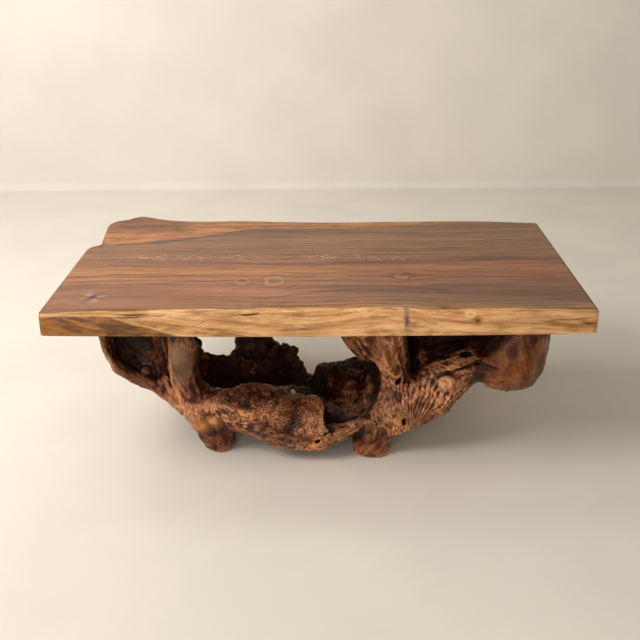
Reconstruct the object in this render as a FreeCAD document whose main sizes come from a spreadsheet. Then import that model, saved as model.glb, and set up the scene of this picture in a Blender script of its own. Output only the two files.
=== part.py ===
"""Live-edge coffee table: one thick slab with two natural edges, standing on a carved tree root.

The root is five sawn sections that meet on flat joints and are pinned with hardwood dowels: two halves of a
bowl, a rear wall with its columns, a hollow ear on the left and a burl on the right. Six upright dowels locate
the slab on the root's levelled tops, and four felt pads take the feet.

Frame: +X to the right along the slab, +Y to the back, +Z up. The origin is on the floor, under the middle of
the slab's outline. Millimetres throughout.
"""

import FreeCAD
import Part

import math
import os

V = FreeCAD.Vector
doc = FreeCAD.newDocument("LiveEdgeCoffeeTable")

# Driving dimensions: alias, value, meaning.
SIZES = [
    ("slab_length", 1200, "slab, sawn end to sawn end"),
    ("slab_depth", 722, "slab, widest, front edge to the lobe at the back"),
    ("slab_thickness", 55, "slab"),
    ("edge_round", 5, "how far the slab's upper long edges are rounded in"),
    ("table_height", 430, "floor to table top"),
    ("root_length", 1100, "root along X, ear to burl"),
    ("root_depth", 400, "root along Y, lip of the bowl to the rear feet"),
    ("pad_thickness", 3, "felt pad"),
    ("pad_radius", 22, "felt pad"),
    ("dowel_radius", 8, "dowels in the root's joints"),
    ("dowel_length", 70, "dowels in the root's joints"),
    ("slab_dowel_radius", 10, "dowels under the slab"),
    ("slab_dowel_length", 60, "dowels under the slab"),
    ("slab_bore_depth", 28, "blind bores in the slab's underside"),
    ("dowel_clearance", 0.15, "glue gap round a dowel"),
    ("bore_pocket", 1, "glue pocket at a bore's end"),
]

sheet = doc.addObject("Spreadsheet::Sheet", "Sizes")
for row, (alias, value, meaning) in enumerate(SIZES, start=1):
    sheet.set(f"A{row}", meaning)
    sheet.set(f"B{row}", str(value))
    sheet.setAlias(f"B{row}", alias)
doc.recompute()


def size(alias):
    """A driving dimension, as the sheet holds it."""
    return float(sheet.get(alias))


root_length = size("root_length")
root_depth = size("root_depth")
root_height = size("table_height") - size("slab_thickness")
ROOT_HEIGHT = "(Sizes.table_height - Sizes.slab_thickness)"

# Rings laid for each row of a limb's table; more of them round its bends further.
RINGS_PER_ROW = 1


# Helpers


def smooth_rows(rows):
    """The rows with more rows between them, on a Catmull-Rom curve through the given ones."""
    found = []
    last = len(rows) - 1
    for i in range(last):
        near = [rows[max(i - 1, 0)], rows[i], rows[i + 1], rows[min(i + 2, last)]]
        for step in range(RINGS_PER_ROW):
            t = step / RINGS_PER_ROW
            found.append([catmull_rom(values, t) for values in zip(*near)])
    found.append(list(rows[last]))
    return found


def catmull_rom(values, t):
    """The curve through four evenly spaced values, t of the way from the second to the third."""
    a, b, c, d = values
    return 0.5 * (2 * b + (c - a) * t + (2 * a - 5 * b + 4 * c - d) * t**2 + (3 * b - a - 3 * c + d) * t**3)


def skinned_solid(rings):
    """A closed solid through rings of equally many points: flat triangles between rings, a flat cap at each end."""
    count = len(rings[0])
    faces = []
    for ring, following in zip(rings, rings[1:]):
        for i in range(count):
            j = (i + 1) % count
            faces.append(Part.Face(Part.makePolygon([ring[i], ring[j], following[j], ring[i]])))
            faces.append(Part.Face(Part.makePolygon([ring[i], following[j], following[i], ring[i]])))
    for ring in (rings[0], rings[-1]):
        faces.append(Part.Face(Part.makePolygon(ring + [ring[0]])))
    solid = Part.Solid(Part.Shell(faces))
    if solid.Volume < 0:
        solid.reverse()
    return solid


def add_feature(name, shape):
    """A document object that holds a shape worked out here."""
    made = doc.addObject("Part::Feature", name)
    made.Shape = shape
    return made


def round_ring(sides, lump, lumps, twist):
    """Cosine and sine of each point of a ring, pushed in and out by lump, in so many lumps turned by twist."""
    ring = []
    for i in range(sides):
        angle = 2 * math.pi * i / sides
        reach = 1 + lump * math.sin(lumps * angle + twist)
        ring.append((reach * math.cos(angle), reach * math.sin(angle)))
    return ring


def upright_limb(name, shares, sides=16, lump=0.04, lumps=3):
    """A limb that rises, in level rings.

    A row is height, X, Y, half width and half depth, as shares of the root's height, length and depth."""
    rings = []
    for height, x, y, half_width, half_depth in smooth_rows(shares):
        ring = round_ring(sides, lump, lumps, 2 * math.pi * height)
        rings.append(
            [
                V((x + half_width * c) * root_length, (y + half_depth * s) * root_depth, height * root_height)
                for c, s in ring
            ]
        )
    return add_feature(name, skinned_solid(rings))


def lying_limb(name, shares, sides=16, lump=0.03, lumps=3):
    """A limb that lies along X, in rings that face X.

    A row is X, Y, height, half depth and half height, as shares of the root's length, depth and height."""
    rings = []
    for x, y, height, half_depth, half_height in smooth_rows(shares):
        ring = round_ring(sides, lump, lumps, 2 * math.pi * x)
        rings.append(
            [
                V(x * root_length, (y + half_depth * c) * root_depth, (height + half_height * s) * root_height)
                for c, s in ring
            ]
        )
    return add_feature(name, skinned_solid(rings))


def add_box(name, corner, lengths):
    """A box whose corner and lengths are expressions on the sheet."""
    made = doc.addObject("Part::Box", name)
    for axis, start, length, extent in zip("xyz", corner, ("Length", "Width", "Height"), lengths):
        made.setExpression(f"Placement.Base.{axis}", start)
        made.setExpression(length, extent)
    return made


def add_cylinder(name, start, along, radius, length):
    """A round bar from start, an expression for each axis, in the direction along."""
    made = doc.addObject("Part::Cylinder", name)
    made.Placement.Rotation = FreeCAD.Rotation(V(0, 0, 1), along)
    for axis, place in zip("xyz", start):
        made.setExpression(f"Placement.Base.{axis}", place)
    made.setExpression("Radius", radius)
    made.setExpression("Height", length)
    return made


def combine(kind, name, shapes):
    """A boolean of many shapes: kind is MultiFuse or MultiCommon."""
    made = doc.addObject(f"Part::{kind}", name)
    made.Shapes = shapes
    made.Refine = False
    return made


def cut(name, base, tool):
    made = doc.addObject("Part::Cut", name)
    made.Base = base
    made.Tool = tool
    made.Refine = False
    return made


def shares_of_root(x, y, height):
    """Expressions for a place given as shares of the root's length, depth and height."""
    return (f"{x} * Sizes.root_length", f"{y} * Sizes.root_depth", f"{height} * {ROOT_HEIGHT}")


# Root: limbs and hollows

# The bowl runs from the ear to the burl. Its belly hangs lowest just left of the middle.
bowl = lying_limb(
    "BowlOutside",
    [
        (-0.368, -0.300, 0.493, 0.155, 0.147),
        (-0.318, -0.295, 0.421, 0.220, 0.165),
        (-0.264, -0.263, 0.360, 0.295, 0.165),
        (-0.209, -0.238, 0.300, 0.345, 0.155),
        (-0.161, -0.225, 0.299, 0.370, 0.139),
        (-0.100, -0.220, 0.245, 0.395, 0.160),
        (-0.027, -0.213, 0.203, 0.413, 0.165),
        (0.036, -0.213, 0.200, 0.400, 0.155),
        (0.100, -0.213, 0.235, 0.375, 0.155),
        (0.164, -0.230, 0.315, 0.350, 0.181),
        (0.218, -0.263, 0.395, 0.313, 0.192),
        (0.273, -0.295, 0.485, 0.270, 0.165),
        (0.327, -0.325, 0.547, 0.230, 0.139),
        (0.377, -0.338, 0.573, 0.213, 0.133),
    ],
    sides=18,
)

# The belly, the haunch and the shoulder fill the bowl's front out, down to the arches between the feet.
belly = lying_limb(
    "Belly",
    [
        (-0.255, -0.490, 0.310, 0.070, 0.090),
        (-0.200, -0.520, 0.305, 0.105, 0.140),
        (-0.150, -0.540, 0.280, 0.120, 0.128),
        (-0.118, -0.553, 0.260, 0.125, 0.160),
        (-0.085, -0.565, 0.237, 0.130, 0.180),
        (-0.050, -0.570, 0.228, 0.130, 0.183),
        (0.000, -0.570, 0.225, 0.130, 0.175),
        (0.045, -0.555, 0.240, 0.120, 0.145),
        (0.085, -0.530, 0.245, 0.100, 0.105),
        (0.115, -0.500, 0.245, 0.060, 0.060),
    ],
    sides=12,
)
haunch = lying_limb(
    "Haunch",
    [
        (-0.362, -0.380, 0.535, 0.070, 0.080),
        (-0.325, -0.395, 0.455, 0.140, 0.135),
        (-0.300, -0.405, 0.390, 0.155, 0.155),
        (-0.275, -0.415, 0.310, 0.155, 0.175),
        (-0.250, -0.425, 0.220, 0.140, 0.160),
        (-0.225, -0.430, 0.170, 0.090, 0.090),
    ],
    sides=12,
)
shoulder = lying_limb(
    "Shoulder",
    [
        (0.105, -0.470, 0.220, 0.090, 0.090),
        (0.145, -0.490, 0.275, 0.140, 0.155),
        (0.185, -0.500, 0.335, 0.155, 0.190),
        (0.225, -0.500, 0.395, 0.160, 0.210),
        (0.262, -0.490, 0.460, 0.155, 0.195),
        (0.300, -0.480, 0.530, 0.140, 0.165),
        (0.335, -0.460, 0.590, 0.110, 0.120),
        (0.362, -0.440, 0.620, 0.050, 0.050),
    ],
    sides=14,
)
bowl_hollow = lying_limb(
    "BowlHollow",
    [
        (-0.300, -0.250, 0.573, 0.100, 0.133),
        (-0.259, -0.238, 0.493, 0.188, 0.165),
        (-0.200, -0.213, 0.448, 0.245, 0.208),
        (-0.136, -0.188, 0.413, 0.280, 0.219),
        (-0.073, -0.175, 0.400, 0.295, 0.235),
        (0.000, -0.178, 0.373, 0.300, 0.245),
        (0.055, -0.225, 0.333, 0.338, 0.208),
        (0.100, -0.225, 0.341, 0.315, 0.203),
        (0.136, -0.213, 0.427, 0.225, 0.200),
        (0.164, -0.200, 0.507, 0.125, 0.133),
    ],
    sides=14,
    lump=0.05,
)

# Right of the centre joint the lip drops, so that the bowl opens low to the front.
LIP_DROP_SHARE = 0.010
lip_drop = lying_limb(
    "LipDrop",
    [
        (LIP_DROP_SHARE, -0.540, 0.430, 0.160, 0.215),
        (0.045, -0.550, 0.435, 0.170, 0.210),
        (0.085, -0.540, 0.455, 0.160, 0.200),
        (0.115, -0.510, 0.480, 0.130, 0.175),
        (0.135, -0.470, 0.500, 0.060, 0.090),
    ],
    sides=12,
)

# The ear is a cup that opens to the front. Its back wall runs on behind the left strut.
ear = lying_limb(
    "EarOutside",
    [
        (-0.482, -0.310, 0.760, 0.050, 0.107),
        (-0.473, -0.310, 0.755, 0.130, 0.187),
        (-0.450, -0.310, 0.760, 0.188, 0.253),
        (-0.409, -0.310, 0.740, 0.215, 0.343),
        (-0.373, -0.305, 0.720, 0.220, 0.382),
        (-0.342, -0.293, 0.690, 0.213, 0.395),
        (-0.309, -0.268, 0.643, 0.190, 0.366),
        (-0.273, -0.240, 0.600, 0.150, 0.267),
        (-0.250, -0.225, 0.533, 0.095, 0.160),
    ],
    lump=0.02,
)
ear_hollow = lying_limb(
    "EarHollow",
    [
        (-0.459, -0.463, 0.800, 0.050, 0.107),
        (-0.441, -0.470, 0.800, 0.138, 0.240),
        (-0.409, -0.475, 0.800, 0.180, 0.325),
        (-0.373, -0.488, 0.800, 0.180, 0.341),
        (-0.344, -0.505, 0.787, 0.150, 0.293),
        (-0.323, -0.525, 0.760, 0.088, 0.187),
    ],
    lump=0.06,
)

# The burl is a paddle with a fat round end. A wall behind its recess ties it to the right strut.
burl = lying_limb(
    "Burl",
    [
        (0.318, -0.338, 0.573, 0.175, 0.120),
        (0.350, -0.350, 0.600, 0.238, 0.165),
        (0.382, -0.363, 0.680, 0.280, 0.280),
        (0.418, -0.363, 0.741, 0.300, 0.363),
        (0.455, -0.355, 0.757, 0.288, 0.365),
        (0.480, -0.345, 0.767, 0.230, 0.312),
        (0.493, -0.338, 0.775, 0.138, 0.207),
        (0.498, -0.338, 0.779, 0.050, 0.067),
    ],
    lump=0.02,
)
recess_wall = lying_limb(
    "RecessWall",
    [
        (0.164, -0.150, 0.667, 0.075, 0.187),
        (0.195, -0.150, 0.720, 0.100, 0.267),
        (0.255, -0.155, 0.747, 0.108, 0.307),
        (0.318, -0.170, 0.760, 0.120, 0.313),
        (0.364, -0.188, 0.773, 0.138, 0.307),
        (0.418, -0.213, 0.773, 0.150, 0.267),
    ],
    sides=12,
)

# Front limbs rise from a foot, swell into the bowl's wall and carry on as a strut up to the slab.
left_strut = upright_limb(
    "LeftStrut",
    [
        (-0.053, -0.227, -0.452, 0.031, 0.085),
        (0.053, -0.227, -0.455, 0.035, 0.098),
        (0.160, -0.229, -0.448, 0.040, 0.108),
        (0.270, -0.248, -0.423, 0.050, 0.130),
        (0.380, -0.272, -0.418, 0.050, 0.145),
        (0.480, -0.290, -0.430, 0.036, 0.130),
        (0.600, -0.298, -0.450, 0.028, 0.108),
        (0.720, -0.295, -0.458, 0.035, 0.103),
        (0.850, -0.291, -0.455, 0.040, 0.105),
        (0.933, -0.300, -0.450, 0.034, 0.113),
        (1.067, -0.312, -0.445, 0.029, 0.125),
    ],
)
right_strut = upright_limb(
    "RightStrut",
    [
        (-0.053, 0.114, -0.507, 0.038, 0.095),
        (0.053, 0.114, -0.512, 0.043, 0.108),
        (0.160, 0.118, -0.500, 0.047, 0.120),
        (0.270, 0.136, -0.463, 0.060, 0.150),
        (0.380, 0.160, -0.448, 0.060, 0.158),
        (0.470, 0.170, -0.443, 0.045, 0.138),
        (0.560, 0.158, -0.445, 0.046, 0.118),
        (0.640, 0.143, -0.450, 0.056, 0.110),
        (0.740, 0.128, -0.450, 0.067, 0.110),
        (0.835, 0.120, -0.450, 0.074, 0.115),
        (0.933, 0.116, -0.445, 0.075, 0.125),
        (1.067, 0.112, -0.438, 0.077, 0.138),
    ],
)

# The rear sill carries the back rim, which dips low behind the belly. Rear limbs rise through it as columns.
rear_sill = lying_limb(
    "RearSill",
    [
        (-0.210, 0.165, 0.270, 0.030, 0.040),
        (-0.164, 0.175, 0.253, 0.110, 0.133),
        (-0.100, 0.185, 0.227, 0.115, 0.147),
        (-0.055, 0.185, 0.165, 0.105, 0.101),
        (-0.032, 0.185, 0.125, 0.100, 0.075),
        (0.000, 0.185, 0.155, 0.105, 0.105),
        (0.045, 0.185, 0.163, 0.110, 0.105),
        (0.100, 0.185, 0.183, 0.115, 0.112),
        (0.155, 0.180, 0.227, 0.120, 0.130),
        (0.205, 0.180, 0.290, 0.095, 0.120),
        (0.232, 0.185, 0.320, 0.030, 0.040),
    ],
    lump=0.06,
    lumps=4,
)
left_column = upright_limb(
    "LeftColumn",
    [
        (-0.053, -0.159, 0.238, 0.034, 0.090),
        (0.053, -0.158, 0.235, 0.038, 0.100),
        (0.160, -0.152, 0.215, 0.055, 0.115),
        (0.300, -0.145, 0.200, 0.078, 0.120),
        (0.440, -0.160, 0.198, 0.050, 0.105),
        (0.573, -0.165, 0.200, 0.038, 0.095),
        (0.747, -0.162, 0.200, 0.034, 0.088),
        (0.907, -0.155, 0.200, 0.038, 0.095),
        (1.067, -0.153, 0.200, 0.045, 0.113),
    ],
    sides=14,
    lump=0.06,
)
right_column = upright_limb(
    "RightColumn",
    [
        (-0.053, 0.136, 0.238, 0.034, 0.090),
        (0.053, 0.137, 0.235, 0.038, 0.100),
        (0.160, 0.150, 0.220, 0.050, 0.115),
        (0.300, 0.178, 0.208, 0.060, 0.120),
        (0.450, 0.201, 0.205, 0.048, 0.108),
        (0.693, 0.211, 0.205, 0.038, 0.095),
        (0.907, 0.216, 0.205, 0.042, 0.100),
        (1.067, 0.218, 0.205, 0.047, 0.110),
    ],
    sides=14,
    lump=0.06,
)

# Peaks of the ragged back rim: X, half width and top, as shares.
PEAK_SHARES = [(-0.083, 0.028, 0.425), (0.011, 0.018, 0.275), (0.077, 0.026, 0.300)]
rim_peaks = [
    upright_limb(
        f"RimPeak{number}",
        [
            (0.133, x, 0.185, 1.3 * half_width, 0.100),
            (0.7 * top, x, 0.185, half_width, 0.075),
            (0.9 * top, x, 0.183, 0.7 * half_width, 0.055),
            (top, x, 0.180, 0.3 * half_width, 0.025),
        ],
        sides=10,
        lump=0.12,
    )
    for number, (x, half_width, top) in enumerate(PEAK_SHARES, start=1)
]

# The back rim dips low behind the belly: a notch that widens upwards.
rim_dip = upright_limb(
    "RimDip",
    [
        (0.128, -0.027, 0.220, 0.010, 0.300),
        (0.200, -0.026, 0.220, 0.017, 0.320),
        (0.300, -0.022, 0.220, 0.028, 0.340),
        (0.420, -0.008, 0.220, 0.048, 0.360),
        (0.600, 0.000, 0.220, 0.060, 0.360),
    ],
    sides=12,
)

wood = combine(
    "MultiFuse",
    "RootOutside",
    [
        bowl,
        belly,
        haunch,
        shoulder,
        ear,
        burl,
        recess_wall,
        left_strut,
        right_strut,
        rear_sill,
        left_column,
        right_column,
        *rim_peaks,
    ],
)
hollows = combine("MultiFuse", "RootHollows", [bowl_hollow, lip_drop, ear_hollow, rim_dip])
hollowed = cut("RootHollowed", wood, hollows)

# Places of the flat joints: the bowl's halves, the ear and the burl along X, the rear wall along Y.
CENTRE_JOINT_SHARE = 0.010
EAR_JOINT_SHARE = -0.338
BURL_JOINT_SHARE = 0.345
REAR_JOINT_SHARE = 0.075
CENTRE_JOINT = f"({CENTRE_JOINT_SHARE} * Sizes.root_length)"
EAR_JOINT = f"({EAR_JOINT_SHARE} * Sizes.root_length)"
BURL_JOINT = f"({BURL_JOINT_SHARE} * Sizes.root_length)"
REAR_JOINT = f"({REAR_JOINT_SHARE} * Sizes.root_depth)"

# Joint regions, all standing on the felt pads and levelled under the slab.
FLOOR = "Sizes.pad_thickness"
LEVEL_HEIGHT = "Sizes.table_height - Sizes.slab_thickness - Sizes.pad_thickness"
FAR_X = "Sizes.root_length"
FAR_Y = "Sizes.root_depth"
MIDDLE = f"{BURL_JOINT} - {EAR_JOINT}"
REGIONS = {
    "left_ear_root": ((f"-{FAR_X}", f"-{FAR_Y}"), (f"{FAR_X} + {EAR_JOINT}", f"2 * {FAR_Y}")),
    "right_burl_root": ((BURL_JOINT, f"-{FAR_Y}"), (f"{FAR_X} - {BURL_JOINT}", f"2 * {FAR_Y}")),
    "rear_wall_root": ((EAR_JOINT, REAR_JOINT), (MIDDLE, f"{FAR_Y} - {REAR_JOINT}")),
    "left_bowl_root": (
        (EAR_JOINT, f"-{FAR_Y}"),
        (f"{CENTRE_JOINT} - {EAR_JOINT}", f"{FAR_Y} + {REAR_JOINT}"),
    ),
    "right_bowl_root": (
        (CENTRE_JOINT, f"-{FAR_Y}"),
        (f"{BURL_JOINT} - {CENTRE_JOINT}", f"{FAR_Y} + {REAR_JOINT}"),
    ),
}

# Middles of the four feet, front pair first.
FEET_SHARES = [(-0.227, -0.455), (0.114, -0.510), (-0.159, 0.237), (0.136, 0.237)]

# Dowels: where each group's dowels cross their joint, as shares of the root's sizes.
JOINTS = {
    "centre_joint_dowels": (CENTRE_JOINT, "x", [(-0.545, 0.192), (-0.050, 0.101)]),
    "ear_joint_dowels": (EAR_JOINT, "x", [(-0.213, 0.507), (-0.213, 0.853)]),
    "burl_joint_dowels": (BURL_JOINT, "x", [(-0.375, 0.573), (-0.200, 0.827)]),
    "rear_joint_dowels": (REAR_JOINT, "y", [(-0.173, 0.235), (0.136, 0.245)]),
}
SLAB_DOWEL_SHARES = [
    (-0.300, -0.450),
    (-0.391, -0.200),
    (0.091, -0.438),
    (0.427, -0.350),
    (-0.155, 0.200),
    (0.216, 0.205),
]


def dowel_parts(name, joint, axis, shares):
    """The dowels of one joint and the bores that take them, half in each piece."""
    along = V(1, 0, 0) if axis == "x" else V(0, 1, 0)
    dowels = []
    bores = []
    for number, (across, height) in enumerate(shares, start=1):
        dowel_start = [f"{joint} - Sizes.dowel_length / 2", f"{across} * Sizes.root_depth"]
        bore_start = [f"{joint} - Sizes.dowel_length / 2 - Sizes.bore_pocket", f"{across} * Sizes.root_depth"]
        if axis == "y":
            dowel_start = [f"{across} * Sizes.root_length", dowel_start[0]]
            bore_start = [f"{across} * Sizes.root_length", bore_start[0]]
        level = f"{height} * {ROOT_HEIGHT}"
        dowels.append(
            add_cylinder(f"{name}_{number}", (*dowel_start, level), along, "Sizes.dowel_radius", "Sizes.dowel_length")
        )
        bores.append(
            add_cylinder(
                f"{name}_bore_{number}",
                (*bore_start, level),
                along,
                "Sizes.dowel_radius + Sizes.dowel_clearance",
                "Sizes.dowel_length + 2 * Sizes.bore_pocket",
            )
        )
    return dowels, bores


def group(name, members):
    """Loose members of one kind, as one sub-part."""
    made = doc.addObject("Part::Compound", name)
    made.Links = members
    return made


# Dowels and their bores

nodes = []
root_bores = []
for name, (joint, axis, shares) in JOINTS.items():
    dowels, bores = dowel_parts(name, joint, axis, shares)
    nodes.append(group(name, dowels))
    root_bores += bores

UNDERSIDE = ROOT_HEIGHT
SLAB_DOWEL_TOP = f"{UNDERSIDE} + Sizes.slab_bore_depth - Sizes.bore_pocket"
slab_dowels = []
slab_dowel_bores = []
for number, (x, y) in enumerate(SLAB_DOWEL_SHARES, start=1):
    place = (f"{x} * Sizes.root_length", f"{y} * Sizes.root_depth")
    foot = f"{SLAB_DOWEL_TOP} - Sizes.slab_dowel_length"
    slab_dowels.append(
        add_cylinder(
            f"slab_dowels_{number}", (*place, foot), V(0, 0, 1), "Sizes.slab_dowel_radius", "Sizes.slab_dowel_length"
        )
    )
    slab_dowel_bores.append(
        add_cylinder(
            f"slab_dowels_bore_{number}",
            (*place, f"{foot} - Sizes.bore_pocket"),
            V(0, 0, 1),
            "Sizes.slab_dowel_radius + Sizes.dowel_clearance",
            "Sizes.slab_dowel_length + 2 * Sizes.bore_pocket",
        )
    )
nodes.append(group("slab_dowels", slab_dowels))

# Felt pads, one under each foot

pads = []
for number, (x, y) in enumerate(FEET_SHARES, start=1):
    place = (f"{x} * Sizes.root_length", f"{y} * Sizes.root_depth", "0")
    pads.append(add_cylinder(f"felt_pads_{number}", place, V(0, 0, 1), "Sizes.pad_radius", "Sizes.pad_thickness"))
nodes.append(group("felt_pads", pads))

# Root pieces

all_bores = combine("MultiFuse", "AllBores", root_bores + slab_dowel_bores)
bored = cut("RootBored", hollowed, all_bores)
for name, (corner, extent) in REGIONS.items():
    region = add_box(f"{name}_region", (*corner, FLOOR), (*extent, LEVEL_HEIGHT))
    piece = combine("MultiCommon", name, [bored, region])
    nodes.append(piece)

# Slab: its two long edges are the tree's own outline, from the sawn left end to the sawn right end.
# Each row is X, then Y where the top face ends, then Y where the underside ends, as shares.
FRONT_EDGE_SHARES = [
    (-0.500, -0.479, -0.486),
    (-0.424, -0.473, -0.490),
    (-0.328, -0.467, -0.492),
    (-0.208, -0.483, -0.497),
    (-0.165, -0.494, -0.498),
    (-0.112, -0.471, -0.499),
    (-0.050, -0.452, -0.500),
    (0.000, -0.441, -0.500),
    (0.040, -0.428, -0.499),
    (0.080, -0.446, -0.497),
    (0.120, -0.459, -0.496),
    (0.183, -0.452, -0.495),
    (0.237, -0.447, -0.494),
    (0.324, -0.463, -0.492),
    (0.430, -0.473, -0.488),
    (0.500, -0.482, -0.483),
]
BACK_EDGE_SHARES = [
    (0.500, 0.383, 0.388),
    (0.371, 0.409, 0.418),
    (0.232, 0.412, 0.424),
    (0.138, 0.409, 0.423),
    (0.023, 0.406, 0.420),
    (-0.071, 0.415, 0.428),
    (-0.188, 0.431, 0.441),
    (-0.306, 0.430, 0.442),
    (-0.349, 0.444, 0.454),
    (-0.380, 0.465, 0.470),
    (-0.407, 0.490, 0.490),
    (-0.426, 0.500, 0.500),
    (-0.442, 0.483, 0.488),
    (-0.455, 0.458, 0.467),
    (-0.480, 0.433, 0.440),
    (-0.490, 0.400, 0.407),
    (-0.488, 0.306, 0.312),
    (-0.481, 0.198, 0.204),
    (-0.478, 0.152, 0.158),
    (-0.488, 0.136, 0.142),
    (-0.4975, 0.114, 0.118),
    (-0.500, 0.086, 0.086),
]
# The slab's levels: share of its thickness, way from underside outline to top outline, share of the edge round.
LEVEL_SHARES = [(0.0, 0.03, 0.3), (0.07, 0.0, 0.0), (0.50, 0.18, 0.0), (0.84, 0.68, 0.15), (1.0, 1.0, 1.0)]

slab_length = size("slab_length")
slab_depth = size("slab_depth")
slab_thickness = size("slab_thickness")
edge_round = size("edge_round")


def edge_curve(shares, way, inset, height):
    """One long edge at one level, as a smooth curve through its points."""
    points = [
        V(x * slab_length, (foot + (top - foot) * way) * slab_depth + inset, height) for x, top, foot in shares
    ]
    curve = Part.BSplineCurve()
    curve.interpolate(points)
    return curve.toShape()


def slab_outline(name, share, way, rounding):
    """The slab's closed outline at one level: front edge, right end, back edge, left end."""
    height = root_height + share * slab_thickness
    inset = rounding * edge_round
    front = edge_curve(FRONT_EDGE_SHARES, way, inset, height)
    back = edge_curve(BACK_EDGE_SHARES, way, -inset, height)
    right_end = Part.makeLine(front.lastVertex().Point, back.firstVertex().Point)
    left_end = Part.makeLine(back.lastVertex().Point, front.firstVertex().Point)
    return add_feature(name, Part.Wire([front, right_end, back, left_end]))


slab_blank = doc.addObject("Part::Loft", "SlabBlank")
slab_blank.Sections = [
    slab_outline(f"SlabOutline{number}", *row) for number, row in enumerate(LEVEL_SHARES, start=1)
]
slab_blank.Solid = True
slab_blank.Ruled = True
nodes.append(cut("live_edge_slab", slab_blank, combine("MultiFuse", "SlabBores", slab_dowel_bores)))

# Checks and export

doc.recompute()
for node in nodes:
    node.Label = node.Name
for item in doc.Objects:
    failed = [state for state in item.State if state in ("Invalid", "Error")]
    if failed:
        raise RuntimeError(f"{item.Name} did not compute: {failed}")
for node in nodes:
    if node.Shape.isNull() or not node.Shape.isValid():
        raise RuntimeError(f"{node.Name} has no valid shape")

os.makedirs("parts", exist_ok=True)
for node in nodes:
    node.Shape.exportStep(f"parts/{node.Label}.step")
    print(node.Label, len(node.Shape.Solids), "solids", len(node.Shape.Faces), "faces", node.Shape.BoundBox)
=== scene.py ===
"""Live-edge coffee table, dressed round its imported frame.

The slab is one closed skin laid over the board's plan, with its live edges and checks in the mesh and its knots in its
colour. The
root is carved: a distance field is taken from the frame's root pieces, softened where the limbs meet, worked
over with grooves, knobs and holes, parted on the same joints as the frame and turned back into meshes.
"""

import itertools
import math

import bpy
import numpy as np
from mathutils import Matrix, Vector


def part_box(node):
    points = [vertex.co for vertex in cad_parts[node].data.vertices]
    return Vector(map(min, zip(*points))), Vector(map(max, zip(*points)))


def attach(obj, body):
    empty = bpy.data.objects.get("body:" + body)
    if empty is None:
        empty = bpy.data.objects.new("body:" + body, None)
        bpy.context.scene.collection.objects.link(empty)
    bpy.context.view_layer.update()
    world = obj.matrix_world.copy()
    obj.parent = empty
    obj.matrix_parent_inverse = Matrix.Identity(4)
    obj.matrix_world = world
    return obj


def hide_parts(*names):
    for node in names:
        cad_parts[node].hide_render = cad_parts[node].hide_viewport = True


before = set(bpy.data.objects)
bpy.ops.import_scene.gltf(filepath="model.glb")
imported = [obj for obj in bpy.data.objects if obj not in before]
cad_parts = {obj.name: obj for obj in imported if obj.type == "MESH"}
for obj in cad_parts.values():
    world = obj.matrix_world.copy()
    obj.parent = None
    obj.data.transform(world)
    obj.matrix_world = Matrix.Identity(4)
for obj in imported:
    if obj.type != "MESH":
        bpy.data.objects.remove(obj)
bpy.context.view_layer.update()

import openvdb
from bpy.props import FloatProperty, FloatVectorProperty, PointerProperty
from bpy.types import Operator, Panel, PropertyGroup
from mathutils import Matrix, Vector

bl_info = {
    "name": "Live-edge root table",
    "version": (1, 0, 0),
    "blender": (4, 5, 0),
    "location": "3D View > Sidebar > Root Table",
    "description": "A live-edge slab on a carved root, built on a fixed frame",
    "category": "Object",
}

MM = 0.001
LINEAR_POWER = 2.2


def shade(red, green, blue):
    """A colour given as it looks on screen, 0 to 255, in the renderer's linear values."""
    return tuple((channel / 255) ** LINEAR_POWER for channel in (red, green, blue))


# Frame


SLAB_LOW, SLAB_HIGH = (np.array(corner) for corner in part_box("live_edge_slab"))
SLAB_TOP = float(SLAB_HIGH[2])
UNDERSIDE = float(SLAB_LOW[2])
PAD_TOP = float(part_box("felt_pads")[1][2])
ROOT_NODES = ("left_bowl_root", "right_bowl_root", "rear_wall_root", "left_ear_root", "right_burl_root")
DOWEL_NODES = tuple(f"{place}_dowels" for place in ("slab", "centre_joint", "ear_joint", "burl_joint", "rear_joint"))
EAR_JOINT = float(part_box("left_ear_root")[1][0])
BURL_JOINT = float(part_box("right_burl_root")[0][0])
REAR_JOINT = float(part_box("rear_wall_root")[0][1])
CENTRE_JOINT = float(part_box("left_bowl_root")[1][0])


# Camera: fitted to the slab's corners and the feet in the photograph.

PHOTO_SIZE = 640
SENSOR_WIDTH = 36.0
LENS = 50.0
FOCAL_PIXELS = LENS / SENSOR_WIDTH * PHOTO_SIZE
CAMERA_PLACE = (0.0283, -2.0905, 1.165)
CAMERA_PITCH = math.radians(-23.433)
CAMERA_YAW = math.radians(0.7685)
CAMERA_ROLL = math.radians(-0.552)


def camera_axes():
    """The camera's right, up and forward directions: pitched and turned first, then rolled about the view."""
    flat = math.cos(CAMERA_PITCH)
    forward = np.array([-math.sin(CAMERA_YAW) * flat, math.cos(CAMERA_YAW) * flat, math.sin(CAMERA_PITCH)])
    level = np.array([math.cos(CAMERA_YAW), math.sin(CAMERA_YAW), 0.0])
    rise = np.cross(level, forward)
    cosine, sine = math.cos(CAMERA_ROLL), math.sin(CAMERA_ROLL)
    return cosine * level + sine * rise, -sine * level + cosine * rise, forward


def photo_ray(px, py):
    """The camera's place, and the direction in which it sees a point of the photograph."""
    right, up, forward = camera_axes()
    centre = PHOTO_SIZE / 2
    direction = forward + right * (px - centre) / FOCAL_PIXELS - up * (py - centre) / FOCAL_PIXELS
    return np.array(CAMERA_PLACE), direction / np.linalg.norm(direction)


def on_plane(pixel, axis, value):
    """Where the camera's ray through a point of the photograph meets the plane on which that axis has that value."""
    origin, direction = photo_ray(*pixel)
    return origin + direction * (value - origin[axis]) / direction[axis]


# Meshes and noise


def smooth_step(low, high, values):
    """0 below low, 1 above high, and 3t^2 - 2t^3 between them."""
    t = np.clip((values - low) / (high - low), 0, 1)
    return t * t * (3 - 2 * t)


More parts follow.
